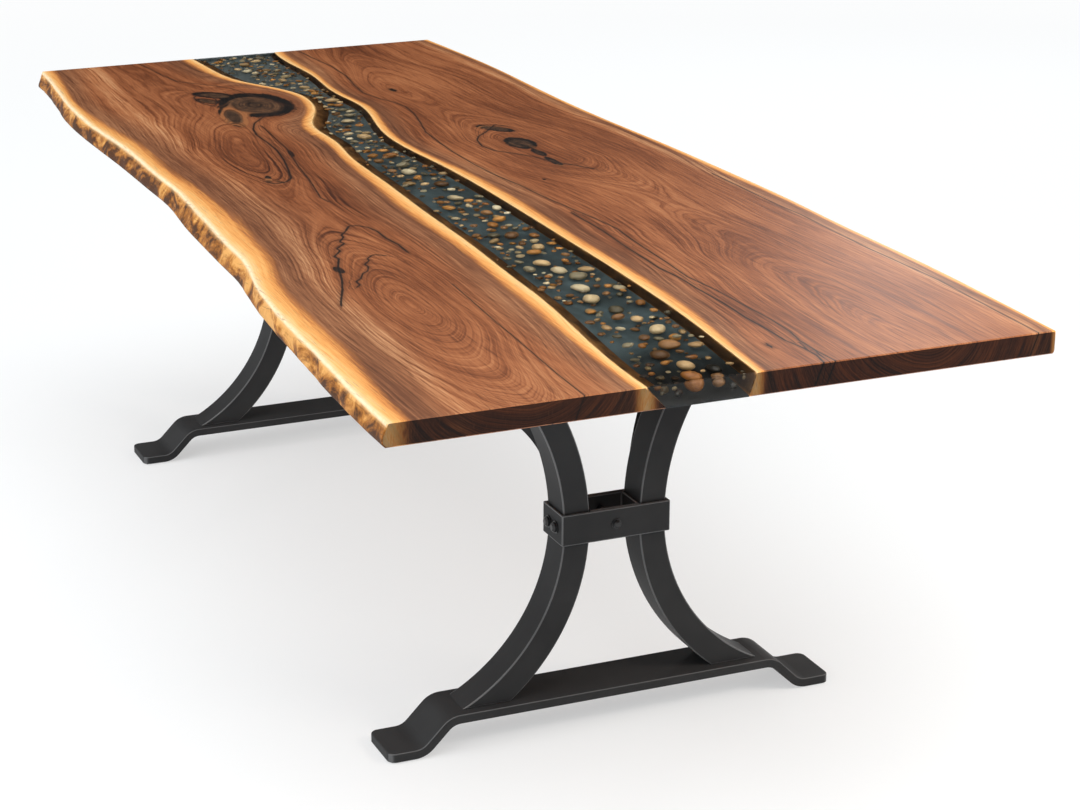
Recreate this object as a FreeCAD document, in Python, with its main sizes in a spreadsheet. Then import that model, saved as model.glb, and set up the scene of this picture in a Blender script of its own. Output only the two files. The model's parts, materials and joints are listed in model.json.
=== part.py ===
import FreeCAD, Part
import math
import os
import re

V = FreeCAD.Vector

# Dining table with a live edge: two slabs joined by a poured river with pebbles,
# standing on two steel pedestals with curved legs.
# Frame: X along the table, +X at the near end; Y across, -Y at the live edge; Z up from the floor.

SIZES = {
    # the top
    "table_height": 762,
    "top_length": 2560,
    "top_width": 1090,
    "top_thickness": 36,
    # the river
    "river_width": 160,
    "river_offset": 2,
    "river_lean_front": 32,
    "river_lean_rear": 11,
    "pebble_cover": 3,
    "pebble_gap": 1.5,
    "pebble_smallest": 9,
    "pebble_largest": 22,
    "pebble_candidates": 260,
    # the two pedestals
    "pedestal_spacing": 1524,
    "pedestal_offset": 32,
    "fit_gap": 0.3,
    # foot: a flat bar bent down to a pad at each end
    "foot_length": 812,
    "foot_width": 100,
    "foot_thickness": 15,
    "foot_rise": 51,
    "pad_length": 46,
    "pad_corner": 14,
    "ramp_radius": 36,
    "ramp_angle": 45,
    "glide_thickness": 2,
    "glide_margin": 6,
    # legs
    "leg_width": 46,
    "leg_depth": 64,
    "leg_wall": 4,
    "leg_waist": 68,
    "waist_height": 355,
    "leg_radius_lower": 345,
    "leg_radius_upper": 420,
    "edge_round": 2.5,
    # collar round the waist, and the spacer between the legs
    "collar_height": 54,
    "collar_wall": 5,
    "collar_side_gap": 2,
    "spacer_wall": 4,
    # fasteners of the collar
    "end_bolt": 10,
    "end_bolt_spread": 28,
    "end_bolt_bite": 22,
    "end_bolt_tip_gap": 2,
    "face_bolt": 8,
    "washer_thickness": 2,
    "washer_overlap": 2,
    # plate under the top
    "plate_width": 100,
    "plate_thickness": 8,
    "plate_bolt": 8,
    "plate_bolt_margin": 30,
    "insert_length": 20,
    "insert_wall": 3,
    "insert_tip_gap": 4,
    # braces from the legs to the top
    "brace_size": 24,
    "brace_start": 395,
    "brace_radius": 145,
    "brace_lean": 50,
    "brace_turn": 45,
    "flange_length": 112,
    "flange_width": 50,
    "flange_thickness": 6,
    "flange_screw": 6,
    "flange_screw_margin": 14,
    "screw_bite": 20,
}

# Outlines along the length: station from 0 at the far end to 1 at the near end, then millimetres.
# Inset of the live edge from the widest line, at the top face.
LIVE_EDGE = [(0, 122), (0.05, 115), (0.1, 104), (0.14, 95), (0.19, 90), (0.235, 90), (0.275, 95),
             (0.335, 102), (0.4, 99), (0.465, 101), (0.515, 94), (0.565, 87), (0.62, 77), (0.665, 72),
             (0.69, 63), (0.72, 48), (0.75, 38), (0.805, 27), (0.885, 18), (0.96, 8), (1, 6)]
# How far the bottom of the live edge stands out past its top.
LIVE_EDGE_FLARE = [(0, 12), (0.09, 9), (0.17, 12), (0.24, 11), (0.33, 17), (0.42, 13), (0.52, 21),
                   (0.56, 21), (0.62, 17), (0.665, 16), (0.7, 12), (0.735, 7), (0.805, 5), (0.9, 9),
                   (0.95, 8), (1, 6)]
# Inset of the straighter long edge at the back.
REAR_EDGE = [(0, 33), (0.085, 22), (0.15, 18), (0.245, 22), (0.38, 19), (0.475, 8), (0.58, 2), (0.66, 0),
             (0.74, 6), (0.845, 8), (0.91, 14), (1, 27)]
# Departure of the river's two edges from straight lines, positive towards the back.
RIVER_FRONT = [(0, 7), (0.074, 15), (0.115, 36), (0.152, 81), (0.188, 108), (0.221, 105), (0.258, 82),
               (0.297, 42), (0.324, 31), (0.367, 30), (0.41, 16), (0.5, 4), (0.594, -8), (0.688, -16),
               (0.773, -30), (0.82, -36), (0.902, -59), (1, -76)]
RIVER_REAR = [(0, 46), (0.07, 38), (0.111, 40), (0.16, 29), (0.195, 24), (0.246, 30), (0.277, 22),
              (0.324, -3), (0.367, -19), (0.41, -21), (0.469, -12), (0.578, -8), (0.688, -14), (0.773, -19),
              (0.852, -28), (0.906, -38), (0.953, -51), (1, -64)]

# The pebbles that show most, by colour: station, share of the way across the river, length.
MAIN_PEBBLES = {
    "cream": [(0.1, 0.8, 32), (0.294, 0.55, 38), (0.475, 0.36, 33), (0.482, 0.64, 30), (0.561, 0.54, 32),
              (0.829, 0.3, 38), (0.803, 0.4, 26), (0.901, 0.72, 32), (0.762, 0.45, 24), (0.066, 0.25, 25)],
    "tan": [(0.215, 0.5, 26), (0.352, 0.65, 28), (0.743, 0.32, 32), (0.704, 0.69, 27), (0.879, 0.6, 27),
            (0.037, 0.4, 27), (0.15, 0.62, 24), (0.968, 0.5, 22)],
    "amber": [(0.825, 0.68, 40), (0.89, 0.47, 36), (0.64, 0.45, 34), (0.63, 0.75, 31), (0.42, 0.68, 30),
              (0.17, 0.7, 28), (0.716, 0.47, 26), (0.915, 0.84, 24), (0.987, 0.38, 22)],
    "grey": [(0.42, 0.42, 38), (0.455, 0.52, 28), (0.779, 0.62, 26), (0.853, 0.5, 24), (0.979, 0.8, 24),
             (0.25, 0.5, 22)],
    "brown": [(0.672, 0.5, 36), (0.519, 0.7, 30), (0.87, 0.36, 32), (0.944, 0.34, 32), (0.907, 0.6, 20),
              (0.93, 0.62, 26)],
}
PEBBLE_FLATNESS = 0.46     # height of a pebble over its length
PEBBLE_RIM = 0.3           # radius of a pebble's rim over its height
# Steps of the even sequences that spread the other pebbles along, across, in length and in depth
STATION_STEP, ACROSS_STEP, LENGTH_STEP, DEPTH_STEP = 0.618, 0.7549, 0.4142, 0.5698
# Fasteners, as shares of the thread's diameter
HEAD_RADIUS, HEAD_RIM = 0.85, 0.35
CROWN_RADIUS, CROWN_HEIGHT = 0.5, 0.3
NUT_RADIUS, NUT_HEIGHT = 0.95, 0.8

doc = FreeCAD.newDocument("river_table")
sheet = doc.addObject("Spreadsheet::Sheet", "Sizes")
for row, (alias, value) in enumerate(SIZES.items(), start=1):
    sheet.set(f"A{row}", alias)
    sheet.set(f"B{row}", str(value))
    sheet.setAlias(f"B{row}", alias)
doc.recompute()


def size(alias):
    return float(sheet.get(alias))


def bind(obj, **rules):
    """Bind properties to rules such as "top_length / 2", where each size is a cell of the sheet."""
    for prop, rule in rules.items():
        text = re.sub(r"[a-z_]+", lambda m: f"Sizes.{m[0]}" if m[0] in SIZES else m[0], rule)
        obj.setExpression(prop.replace("_in_", "."), text)
    return obj


def make(kind, name, **rules):
    return bind(doc.addObject(kind, name), **rules)


def cut(name, base, tools):
    obj = doc.addObject("Part::Cut", name)
    obj.Base = base
    obj.Tool = tools[0] if len(tools) == 1 else group(f"{name}_tools", tools)
    return obj


def group(name, members, kind="Part::Compound"):
    obj = doc.addObject(kind, name)
    if kind == "Part::Compound":
        obj.Links = members
    else:
        obj.Shapes = members
    return obj


def set_in(obj, x, y, z):
    obj.Placement.Base = V(x, y, z)
    return obj


def cylinder(name, radius, height, base, axis=V(0, 0, 1)):
    """A round bar whose radius and height are rules, from base along axis."""
    obj = make("Part::Cylinder", name, Radius=radius, Height=height)
    obj.Placement = FreeCAD.Placement(base, FreeCAD.Rotation(V(0, 0, 1), axis))
    return obj


# Heights and places that several pieces share
UNDERSIDE = size("table_height") - size("top_thickness")
PLATE_BOTTOM = UNDERSIDE - size("plate_thickness")
FOOT_TOP = size("foot_rise") + size("foot_thickness")
FIT = size("fit_gap")
PEDESTALS = {"near": 1, "far": -1}
SIDES = {"front": -1, "rear": 1}


def to_table(side, point):
    """A point of a pedestal's own frame in the table's frame; the far pedestal is turned half round."""
    x = side * (size("pedestal_spacing") / 2 + point.x)
    return V(x, size("pedestal_offset") + side * point.y, point.z)


def stand(obj, side):
    """Place a piece that was made in a pedestal's own frame."""
    middle = f"{side} * pedestal_spacing / 2"
    bind(obj, Placement_in_Base_in_x=middle, Placement_in_Base_in_y="pedestal_offset")
    obj.Placement.Rotation = FreeCAD.Rotation(V(0, 0, 1), 0 if side > 0 else 180)
    return obj


def plane_sketch(body, name, role, edges):
    """A sketch of the given edges on one of the body's own planes."""
    sketch = body.newObject("Sketcher::SketchObject", name)
    plane = next(f for f in body.Origin.OriginFeatures if f.Role == role)
    sketch.AttachmentSupport = [(plane, "")]
    sketch.MapMode = "FlatFace"
    sketch.addGeometry(edges, False)
    return sketch


def padded_body(name, role, edges, width_rule):
    """A body with one pad of a closed outline, as thick as the rule, half to each side of the plane."""
    body = doc.addObject("PartDesign::Body", name)
    sketch = plane_sketch(body, f"{name}_outline", role, edges)
    pad = body.newObject("PartDesign::Pad", f"{name}_pad")
    pad.Profile = sketch
    pad.SideType = "Symmetric"
    bind(pad, Length=width_rule)
    doc.recompute()
    return body, pad


def round_edges(body, base, chosen, radius_rule):
    names = [f"Edge{i}" for i, edge in enumerate(base.Shape.Edges, start=1) if chosen(edge)]
    fillet = body.newObject("PartDesign::Fillet", f"{base.Name}_round")
    fillet.Base = (base, names)
    bind(fillet, Radius=radius_rule)
    doc.recompute()
    return fillet


def line(p, q):
    return Part.LineSegment(p, q)


def arc(p, through, q):
    return Part.Arc(p, through, q)


# The top

def wave(station, outline):
    """The value of an outline at any station, read off the curve through its points."""
    curve = Part.BSplineCurve()
    curve.interpolate(Points=[V(s, v, 0) for s, v in outline], Parameters=[s for s, v in outline])
    return curve.value(station).y


def long_edge(outline, to_y, z):
    """A long curve of the top: to_y turns a station's value into a place across the table."""
    length = size("top_length")
    points = [V((s - 0.5) * length, to_y(s, v), z) for s, v in outline]
    curve = Part.BSplineCurve()
    curve.interpolate(Points=points, Parameters=[s for s, v in outline])
    return curve.toShape()


def edge_pair(outline, at_top, lean):
    """The top and bottom curves of one long side; lean is added to the place across at the bottom."""
    top = long_edge(outline, at_top, size("table_height"))
    bottom = long_edge(outline, lambda s, v: at_top(s, v) + lean(s), UNDERSIDE)
    return top, bottom


def solid_between(front, rear):
    """A closed solid between two long sides, each a top and a bottom curve, with flat ends."""
    faces = [Part.makeRuledSurface(*front), Part.makeRuledSurface(*rear)]
    for a, b in zip(front, rear):
        ends = [Part.makeLine(a.valueAt(p), b.valueAt(p)) for p in (a.FirstParameter, a.LastParameter)]
        faces.append(Part.Face(Part.Wire(Part.__sortEdges__([a, ends[1], b, ends[0]]))))
    for p in (front[0].FirstParameter, front[0].LastParameter):
        corners = [edge.valueAt(p) for edge in (front[0], front[1], rear[1], rear[0], front[0])]
        faces.append(Part.Face(Part.makePolygon(corners)))
    shell = Part.makeShell(faces)
    shell.sewShape()
    solid = Part.makeSolid(shell)
    if solid.Volume < 0:
        solid.reverse()
    return solid


def feature(name, shape):
    obj = doc.addObject("Part::Feature", name)
    obj.Shape = shape
    return obj


half_width = size("top_width") / 2
front_line = size("river_offset") - size("river_width") / 2
rear_line = size("river_offset") + size("river_width") / 2
live_side = edge_pair(LIVE_EDGE, lambda s, v: v - half_width, lambda s: -wave(s, LIVE_EDGE_FLARE))
river_front = edge_pair(RIVER_FRONT, lambda s, v: front_line + v, lambda s: size("river_lean_front"))
river_rear = edge_pair(RIVER_REAR, lambda s, v: rear_line + v, lambda s: -size("river_lean_rear"))
rear_side = edge_pair(REAR_EDGE, lambda s, v: half_width - v, lambda s: 0)


# Pebbles in the river

def share(i, step):
    """The i-th term of an evenly spread sequence between 0 and 1."""
    return (i * step) % 1


def wanted_pebbles():
    """Colour, station, share across and length of each pebble, the main ones first."""
    for colour, places in MAIN_PEBBLES.items():
        for station, across, length in places:
            yield colour, station, across, length
    colours = list(MAIN_PEBBLES)
    spread = size("pebble_largest") - size("pebble_smallest")
    for i in range(1, int(size("pebble_candidates")) + 1):
        length = size("pebble_smallest") + spread * share(i, LENGTH_STEP) ** 2
        yield colours[i % len(colours)], share(i, STATION_STEP), share(i, ACROSS_STEP), length


def pebble_solid(length, height):
    """A round pebble: two shallow caps that run smoothly into a rounded rim."""
    rim = PEBBLE_RIM * height
    reach, half = length / 2 - rim, height / 2
    cap = (reach ** 2 + half ** 2 - rim ** 2) / (2 * (half - rim))
    meet = math.atan2(reach, cap - half)
    top = [V(cap * math.sin(a), 0, half - cap + cap * math.cos(a)) for a in (0, meet / 2, meet)]
    bottom = [V(p.x, 0, -p.z) for p in top]
    edges = [arc(*top), arc(top[2], V(length / 2, 0, 0), bottom[2]), arc(*bottom), line(bottom[0], top[0])]
    outline = Part.Wire(Part.__sortEdges__([edge.toShape() for edge in edges]))
    return Part.Face(outline).revolve(V(0, 0, 0), V(0, 0, 1), 360)


def place_pebbles():
    """Pebbles by colour, each clear of the walls, the faces and the pebbles before it."""
    placed = []
    by_colour = {colour: [] for colour in MAIN_PEBBLES}
    for i, (colour, station, across, length) in enumerate(wanted_pebbles()):
        wall_front = front_line + wave(station, RIVER_FRONT) + size("river_lean_front")
        wall_rear = rear_line + wave(station, RIVER_REAR) - size("river_lean_rear")
        room = size("pebble_cover") + length / 2
        low, high = wall_front + room, wall_rear - room
        if low >= high:
            continue
        reach = size("top_length") / 2 - room
        x = max(-reach, min(reach, (station - 0.5) * size("top_length")))
        y = low + across * (high - low)
        height = min(PEBBLE_FLATNESS * length, size("top_thickness") - 2 * size("pebble_cover"))
        free = size("top_thickness") - 2 * size("pebble_cover") - height
        z = UNDERSIDE + size("pebble_cover") + height / 2 + free * share(i, DEPTH_STEP)
        gap = size("pebble_gap")
        if any(math.hypot(x - px, y - py) < (length + other) / 2 + gap for px, py, other in placed):
            continue
        placed.append((x, y, length))
        pebble = pebble_solid(length, height)
        pebble.translate(V(x, y, z))
        by_colour[colour].append(pebble)
    return by_colour


def with_hollows(solid, by_colour):
    """The solid with a hollow of the same shape round each pebble that lies whole inside it."""
    shells = [solid.Shells[0]]
    for pebble in (p for solids in by_colour.values() for p in solids):
        hollow = pebble.Shells[0].copy()
        hollow.reverse()
        shells.append(hollow)
    return Part.makeSolid(Part.makeCompound(shells))


pebbles = place_pebbles()
nodes = {}
for colour, solids in pebbles.items():
    nodes[f"pebbles_{colour}"] = feature(f"pebbles_{colour}", Part.makeCompound(solids))
nodes["resin_river"] = feature("resin_river", with_hollows(solid_between(river_front, river_rear), pebbles))


# Pedestals, each made in its own frame: origin on the floor under its middle, +X away from the table's middle

def leg_face(radius, middle, z):
    """Distance of a leg's curved face from the pedestal's middle, at a height."""
    return size("leg_waist") + middle - math.sqrt(radius ** 2 - (z - size("waist_height")) ** 2)


def leg_outline(sign, width):
    """Two tangent arcs up each face, meeting at the waist, and flat ends."""
    waist, half = size("waist_height"), width / 2
    bends = [(size("leg_radius_lower"), FOOT_TOP), (size("leg_radius_upper"), PLATE_BOTTOM)]
    edges, ends = [], []
    for radius, z in bends:
        for shift in (-half, half):
            heights = (waist, (waist + z) / 2, z)
            points = [V(sign * leg_face(radius + shift, radius, level), level, 0) for level in heights]
            edges.append(arc(*points))
            ends.append(points[2])
    return edges + [line(ends[0], ends[1]), line(ends[2], ends[3])]


UPPER, HALF_LEG = size("leg_radius_upper"), size("leg_width") / 2
LEG_TOP_OUT = leg_face(UPPER - HALF_LEG, UPPER, PLATE_BOTTOM)
LEG_TOP_IN = leg_face(UPPER + HALF_LEG, UPPER, PLATE_BOTTOM)
COLLAR_BOTTOM = size("waist_height") - size("collar_height") / 2
LEG_OUT = max(leg_face(radius - HALF_LEG, radius, COLLAR_BOTTOM)
              for radius in (size("leg_radius_lower"), UPPER))
LEG_IN = size("leg_waist") - HALF_LEG
COLLAR_HALF_X = size("leg_depth") / 2 + size("collar_side_gap") + size("collar_wall")
COLLAR_HALF_Y = LEG_OUT + FIT + size("collar_wall")
PLATE_HALF = LEG_TOP_OUT + 2 * size("plate_bolt_margin")
PLATE_BOLTS = [s * y for s in (-1, 1) for y in (LEG_TOP_OUT + size("plate_bolt_margin"),
                                                LEG_TOP_IN - size("plate_bolt_margin"))]
END_BOLTS = [(s * size("end_bolt_spread") / 2, t) for s in (-1, 1) for t in (-1, 1)]


def make_leg(name, sign):
    """A rectangular tube, closed by the foot below and the plate above."""
    width, wall = size("leg_width"), size("leg_wall")
    bar = padded_body(f"{name}_bar", "YZ_Plane", leg_outline(sign, width), "leg_depth")[0]
    hollow = leg_outline(sign, width - 2 * wall)
    core = padded_body(f"{name}_core", "YZ_Plane", hollow, "leg_depth - 2 * leg_wall")[0]
    waist = size("waist_height")
    holes = [cylinder(f"{name}_hole", "end_bolt / 2 + fit_gap", "end_bolt_bite + collar_wall",
                      V(x, sign * COLLAR_HALF_Y, waist), V(0, -sign, 0)) for x, t in END_BOLTS if t == sign]
    return cut(name, bar, [core] + holes)


def ramp_edge(shift):
    """Points of the foot's bent stretch, from the pad up to the bar, off its middle line by shift."""
    bend, angle = size("ramp_radius"), math.radians(size("ramp_angle"))
    low = size("glide_thickness") + size("foot_thickness") / 2
    high = size("foot_rise") + size("foot_thickness") / 2
    straight = (high - low - 2 * bend * (1 - math.cos(angle))) / math.sin(angle)
    start = size("foot_length") / 2 - size("pad_length")
    end = start - 2 * bend * math.sin(angle) - straight * math.cos(angle)
    turns = (0, angle / 2, angle)
    inner, outer = bend - shift, bend + shift
    rise = [V(start - inner * math.sin(a), low + bend - inner * math.cos(a), 0) for a in turns]
    level = [V(end + outer * math.sin(a), high - bend + outer * math.cos(a), 0) for a in reversed(turns)]
    return rise, level


def foot_outline():
    half = size("foot_thickness") / 2
    tip = size("foot_length") / 2
    middle = size("glide_thickness") + half
    edges = []
    crowns = []
    for sign in (-1, 1):
        corners = []
        for shift in (-half, half):
            rise, level = [[V(sign * p.x, p.y, 0) for p in part] for part in ramp_edge(shift)]
            corner = V(sign * tip, middle + shift, 0)
            edges += [line(corner, rise[0]), arc(*rise), line(rise[2], level[0]), arc(*level)]
            corners.append(corner)
            crowns.append(level[2])
        edges.append(line(*corners))
    return edges + [line(crowns[0], crowns[2]), line(crowns[1], crowns[3])]


def make_foot(name):
    body, pad = padded_body(f"{name}_bar", "YZ_Plane", foot_outline(), "foot_width")
    tip = size("foot_length") / 2
    thickness = size("foot_thickness")
    corners = round_edges(body, pad, lambda e: abs(abs(e.CenterOfMass.y) - tip) < 1e-6
                          and abs(e.Length - thickness) < 1e-6, "pad_corner")
    top = size("foot_rise") + thickness / 2
    round_edges(body, corners, lambda e: e.BoundBox.XLength < 1e-6 and e.CenterOfMass.z > top
                and e.BoundBox.ZLength < 1e-6, "edge_round")
    return group(name, [body])


def make_collar(name):
    half_x, half_y, wall = COLLAR_HALF_X, COLLAR_HALF_Y, size("collar_wall")
    waist = size("waist_height")
    outer = make("Part::Box", f"{name}_outer", Height="collar_height")
    outer.Length, outer.Width = 2 * half_x, 2 * half_y
    set_in(outer, -half_x, -half_y, COLLAR_BOTTOM)
    inner = make("Part::Box", f"{name}_inner", Height="collar_height")
    inner.Length, inner.Width = 2 * (half_x - wall), 2 * (half_y - wall)
    set_in(inner, wall - half_x, wall - half_y, COLLAR_BOTTOM)
    holes = [cylinder(f"{name}_end_hole", "end_bolt / 2 + fit_gap", "collar_wall",
                      V(x, t * half_y, waist), V(0, -t, 0)) for x, t in END_BOLTS]
    holes += [cylinder(f"{name}_face_hole", "face_bolt / 2 + fit_gap", "collar_wall",
                       V(t * half_x, 0, waist), V(-t, 0, 0)) for t in (-1, 1)]
    return cut(name, outer, [inner] + holes)


def make_spacer(name):
    half_x, half_y, wall = size("leg_depth") / 2, LEG_IN - FIT, size("spacer_wall")
    outer = make("Part::Box", f"{name}_outer", Length="leg_depth", Height="collar_height")
    outer.Width = 2 * half_y
    set_in(outer, -half_x, -half_y, COLLAR_BOTTOM)
    inner = make("Part::Box", f"{name}_inner", Length="leg_depth - 2 * spacer_wall", Height="collar_height")
    inner.Width = 2 * (half_y - wall)
    set_in(inner, wall - half_x, wall - half_y, COLLAR_BOTTOM)
    holes = [cylinder(f"{name}_hole", "face_bolt / 2 + fit_gap", "spacer_wall",
                      V(t * half_x, 0, size("waist_height")), V(-t, 0, 0)) for t in (-1, 1)]
    return cut(name, outer, [inner] + holes)


def make_plate(name):
    plate = make("Part::Box", f"{name}_bar", Length="plate_width", Height="plate_thickness")
    plate.Width = 2 * PLATE_HALF
    set_in(plate, -size("plate_width") / 2, -PLATE_HALF, PLATE_BOTTOM)
    holes = [cylinder(f"{name}_hole", "plate_bolt / 2 + fit_gap", "plate_thickness", V(0, y, PLATE_BOTTOM))
             for y in PLATE_BOLTS]
    return cut(name, plate, holes)


def make_bolt(name, thread, reach, seat, inward):
    """A button head outside its seat and a shank that reaches inward; thread and reach are rules."""
    out = V(0, 0, 0) - inward
    rim = size(thread) * HEAD_RIM
    shank = cylinder(f"{name}_shank", f"{thread} / 2", reach, seat, inward)
    head = cylinder(f"{name}_head", f"{thread} * {HEAD_RADIUS}", f"{thread} * {HEAD_RIM}", seat, out)
    crown = make("Part::Cone", f"{name}_crown", Radius1=f"{thread} * {HEAD_RADIUS}",
                 Radius2=f"{thread} * {CROWN_RADIUS}", Height=f"{thread} * {CROWN_HEIGHT}")
    crown.Placement = FreeCAD.Placement(seat + out * rim, FreeCAD.Rotation(V(0, 0, 1), out))
    return group(name, [shank, head, crown], "Part::MultiFuse")


def make_washer(name, thread, seat, outward):
    disc = cylinder(f"{name}_disc", f"{thread} * {HEAD_RADIUS} + washer_overlap", "washer_thickness", seat,
                    outward)
    bore = cylinder(f"{name}_bore", f"{thread} / 2 + fit_gap", "washer_thickness", seat, outward)
    return cut(name, disc, [bore])


def make_nut(name, seat, inward):
    prism = make("Part::Prism", f"{name}_hex", Circumradius=f"face_bolt * {NUT_RADIUS}",
                 Height=f"face_bolt * {NUT_HEIGHT}")
    prism.Polygon = 6
    prism.Placement = FreeCAD.Placement(seat, FreeCAD.Rotation(V(0, 0, 1), inward))
    bore = cylinder(f"{name}_bore", "face_bolt / 2 + fit_gap", f"face_bolt * {NUT_HEIGHT}", seat, inward)
    return cut(name, prism, [bore])


def collar_fasteners(prefix):
    """Bolts, washers and nuts of one collar."""
    waist, thick = size("waist_height"), size("washer_thickness")
    ends, faces, washers, nuts = [], [], [], []
    for x, t in END_BOLTS:
        seat = V(x, t * COLLAR_HALF_Y, waist)
        out = V(0, t, 0)
        washers.append(make_washer(f"{prefix}_end_washer", "end_bolt", seat, out))
        reach = "washer_thickness + collar_wall + end_bolt_bite - end_bolt_tip_gap"
        ends.append(make_bolt(f"{prefix}_end_bolt", "end_bolt", reach, seat + out * thick, V(0, -t, 0)))
    for t in (-1, 1):
        seat = V(t * COLLAR_HALF_X, 0, waist)
        out = V(t, 0, 0)
        washers.append(make_washer(f"{prefix}_face_washer", "face_bolt", seat, out))
        reach = "washer_thickness + collar_wall + collar_side_gap + spacer_wall + face_bolt"
        faces.append(make_bolt(f"{prefix}_face_bolt", "face_bolt", reach, seat + out * thick, V(-t, 0, 0)))
        inside = V(t * (size("leg_depth") / 2 - size("spacer_wall")), 0, waist)
        nuts.append(make_nut(f"{prefix}_nut", inside, V(-t, 0, 0)))
    return {"end_bolts": ends, "face_bolts": faces, "collar_washers": washers, "nuts": nuts}


def plate_fasteners(prefix):
    """Bolts and washers under one plate."""
    bolts, washers = [], []
    up, down = V(0, 0, 1), V(0, 0, -1)
    for y in PLATE_BOLTS:
        seat = V(0, y, PLATE_BOTTOM)
        washers.append(make_washer(f"{prefix}_plate_washer", "plate_bolt", seat, down))
        reach = "washer_thickness + plate_thickness + insert_length - insert_tip_gap"
        bolts.append(make_bolt(f"{prefix}_plate_bolt", "plate_bolt", reach,
                               seat + down * size("washer_thickness"), up))
    return {"plate_bolts": bolts, "plate_washers": washers}


def brace_outline():
    """A bar that bends away from upright and runs straight up to the flange, in its own upright plane."""
    half, bend, lean = size("brace_size") / 2, size("brace_radius"), math.radians(size("brace_lean"))
    start, top = size("brace_start"), UNDERSIDE - size("flange_thickness")
    edges, feet, tips = [], [], []
    for shift in (-half, half):
        radius = bend - shift
        turns = (0, lean / 2, lean)
        points = [V(bend - radius * math.cos(a), start + radius * math.sin(a), 0) for a in turns]
        tip = points[2] + V(math.tan(lean), 1, 0) * (top - points[2].y)
        edges += [arc(*points), line(points[2], tip)]
        feet.append(points[0])
        tips.append(tip)
    middle = (tips[0] + tips[1]) / 2
    return edges + [line(*feet), line(*tips)], middle.x


BRACE_REACH = brace_outline()[1]


def brace_direction(sign):
    turn = math.radians(size("brace_turn"))
    return V(-math.cos(turn), sign * math.sin(turn), 0)


def brace_root(sign):
    """Where a brace springs from the back of its leg."""
    y = leg_face(size("leg_radius_upper"), size("leg_radius_upper"), size("brace_start"))
    return V(-size("leg_depth") / 2, sign * y, 0)


def flange_screws(sign):
    middle = brace_root(sign) + brace_direction(sign) * BRACE_REACH
    spread = size("flange_length") / 2 - size("flange_screw_margin")
    return [middle + brace_direction(sign) * (s * spread) for s in (-1, 1)]


def make_brace(name, sign):
    body, pad = padded_body(f"{name}_bar", "XZ_Plane", brace_outline()[0], "brace_size")
    turn = FreeCAD.Rotation(V(1, 0, 0), brace_direction(sign))
    root = brace_root(sign)
    body.Placement = FreeCAD.Placement(root, turn)
    flange = make("Part::Box", f"{name}_flange", Length="flange_length", Width="flange_width",
                  Height="flange_thickness")
    corner = V(BRACE_REACH - size("flange_length") / 2, -size("flange_width") / 2,
               UNDERSIDE - size("flange_thickness"))
    flange.Placement = FreeCAD.Placement(root + turn.multVec(corner), turn)
    welded = group(f"{name}_welded", [body, flange], "Part::MultiFuse")
    leg_side = make("Part::Box", f"{name}_leg_side", Length="leg_depth", Width="2 * leg_depth",
                    Height="table_height")
    set_in(leg_side, root.x, root.y - size("leg_depth"), 0)
    holes = [cylinder(f"{name}_hole", "flange_screw / 2 + fit_gap", "flange_thickness",
                      V(p.x, p.y, UNDERSIDE - size("flange_thickness"))) for p in flange_screws(sign)]
    return cut(name, welded, [leg_side] + holes)


def brace_fasteners(prefix):
    screws = []
    for sign in SIDES.values():
        for p in flange_screws(sign):
            seat = V(p.x, p.y, UNDERSIDE - size("flange_thickness"))
            screws.append(make_bolt(f"{prefix}_brace_screw", "flange_screw", "flange_thickness + screw_bite",
                                    seat, V(0, 0, 1)))
    return {"brace_screws": screws}


def make_glides(prefix):
    glides = []
    margin = size("glide_margin")
    for sign in (-1, 1):
        glide = make("Part::Box", f"{prefix}_glide", Length="foot_width - 2 * glide_margin",
                     Width="pad_length - 2 * glide_margin", Height="glide_thickness")
        inner = size("foot_length") / 2 - size("pad_length") + margin
        y = inner if sign > 0 else -inner - (size("pad_length") - 2 * margin)
        glides.append(set_in(glide, margin - size("foot_width") / 2, y, 0))
    return {"glides": glides}


pockets = []
for prefix, side in PEDESTALS.items():
    pieces = {f"{prefix}_foot": make_foot(f"{prefix}_foot"),
              f"{prefix}_collar": make_collar(f"{prefix}_collar"),
              f"{prefix}_spacer": make_spacer(f"{prefix}_spacer"),
              f"{prefix}_top_plate": make_plate(f"{prefix}_top_plate")}
    for label, sign in SIDES.items():
        pieces[f"{prefix}_leg_{label}"] = make_leg(f"{prefix}_leg_{label}", side * sign)
        pieces[f"{prefix}_brace_{label}"] = make_brace(f"{prefix}_brace_{label}", side * sign)
    for sets in (collar_fasteners, plate_fasteners, brace_fasteners, make_glides):
        for label, members in sets(prefix).items():
            pieces[f"{prefix}_{label}"] = group(f"{prefix}_{label}", members)
    nodes.update({name: stand(piece, side) for name, piece in pieces.items()})
    inserts = []
    for y in PLATE_BOLTS:
        mouth = to_table(side, V(0, y, UNDERSIDE))
        outside = "plate_bolt / 2 + fit_gap + insert_wall"
        outer = cylinder(f"{prefix}_insert_outer", outside, "insert_length", mouth)
        bore = cylinder(f"{prefix}_insert_bore", "plate_bolt / 2 + fit_gap", "insert_length", mouth)
        inserts.append(cut(f"{prefix}_insert", outer, [bore]))
        pockets.append(cylinder(f"{prefix}_insert_pocket", "plate_bolt / 2 + 2 * fit_gap + insert_wall",
                                "insert_length + fit_gap", mouth))
    nodes[f"{prefix}_inserts"] = group(f"{prefix}_inserts", inserts)
    for sign in SIDES.values():
        pockets += [cylinder(f"{prefix}_screw_pocket", "flange_screw / 2 + fit_gap", "screw_bite + fit_gap",
                             to_table(side, V(p.x, p.y, UNDERSIDE))) for p in flange_screws(sign)]


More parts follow.
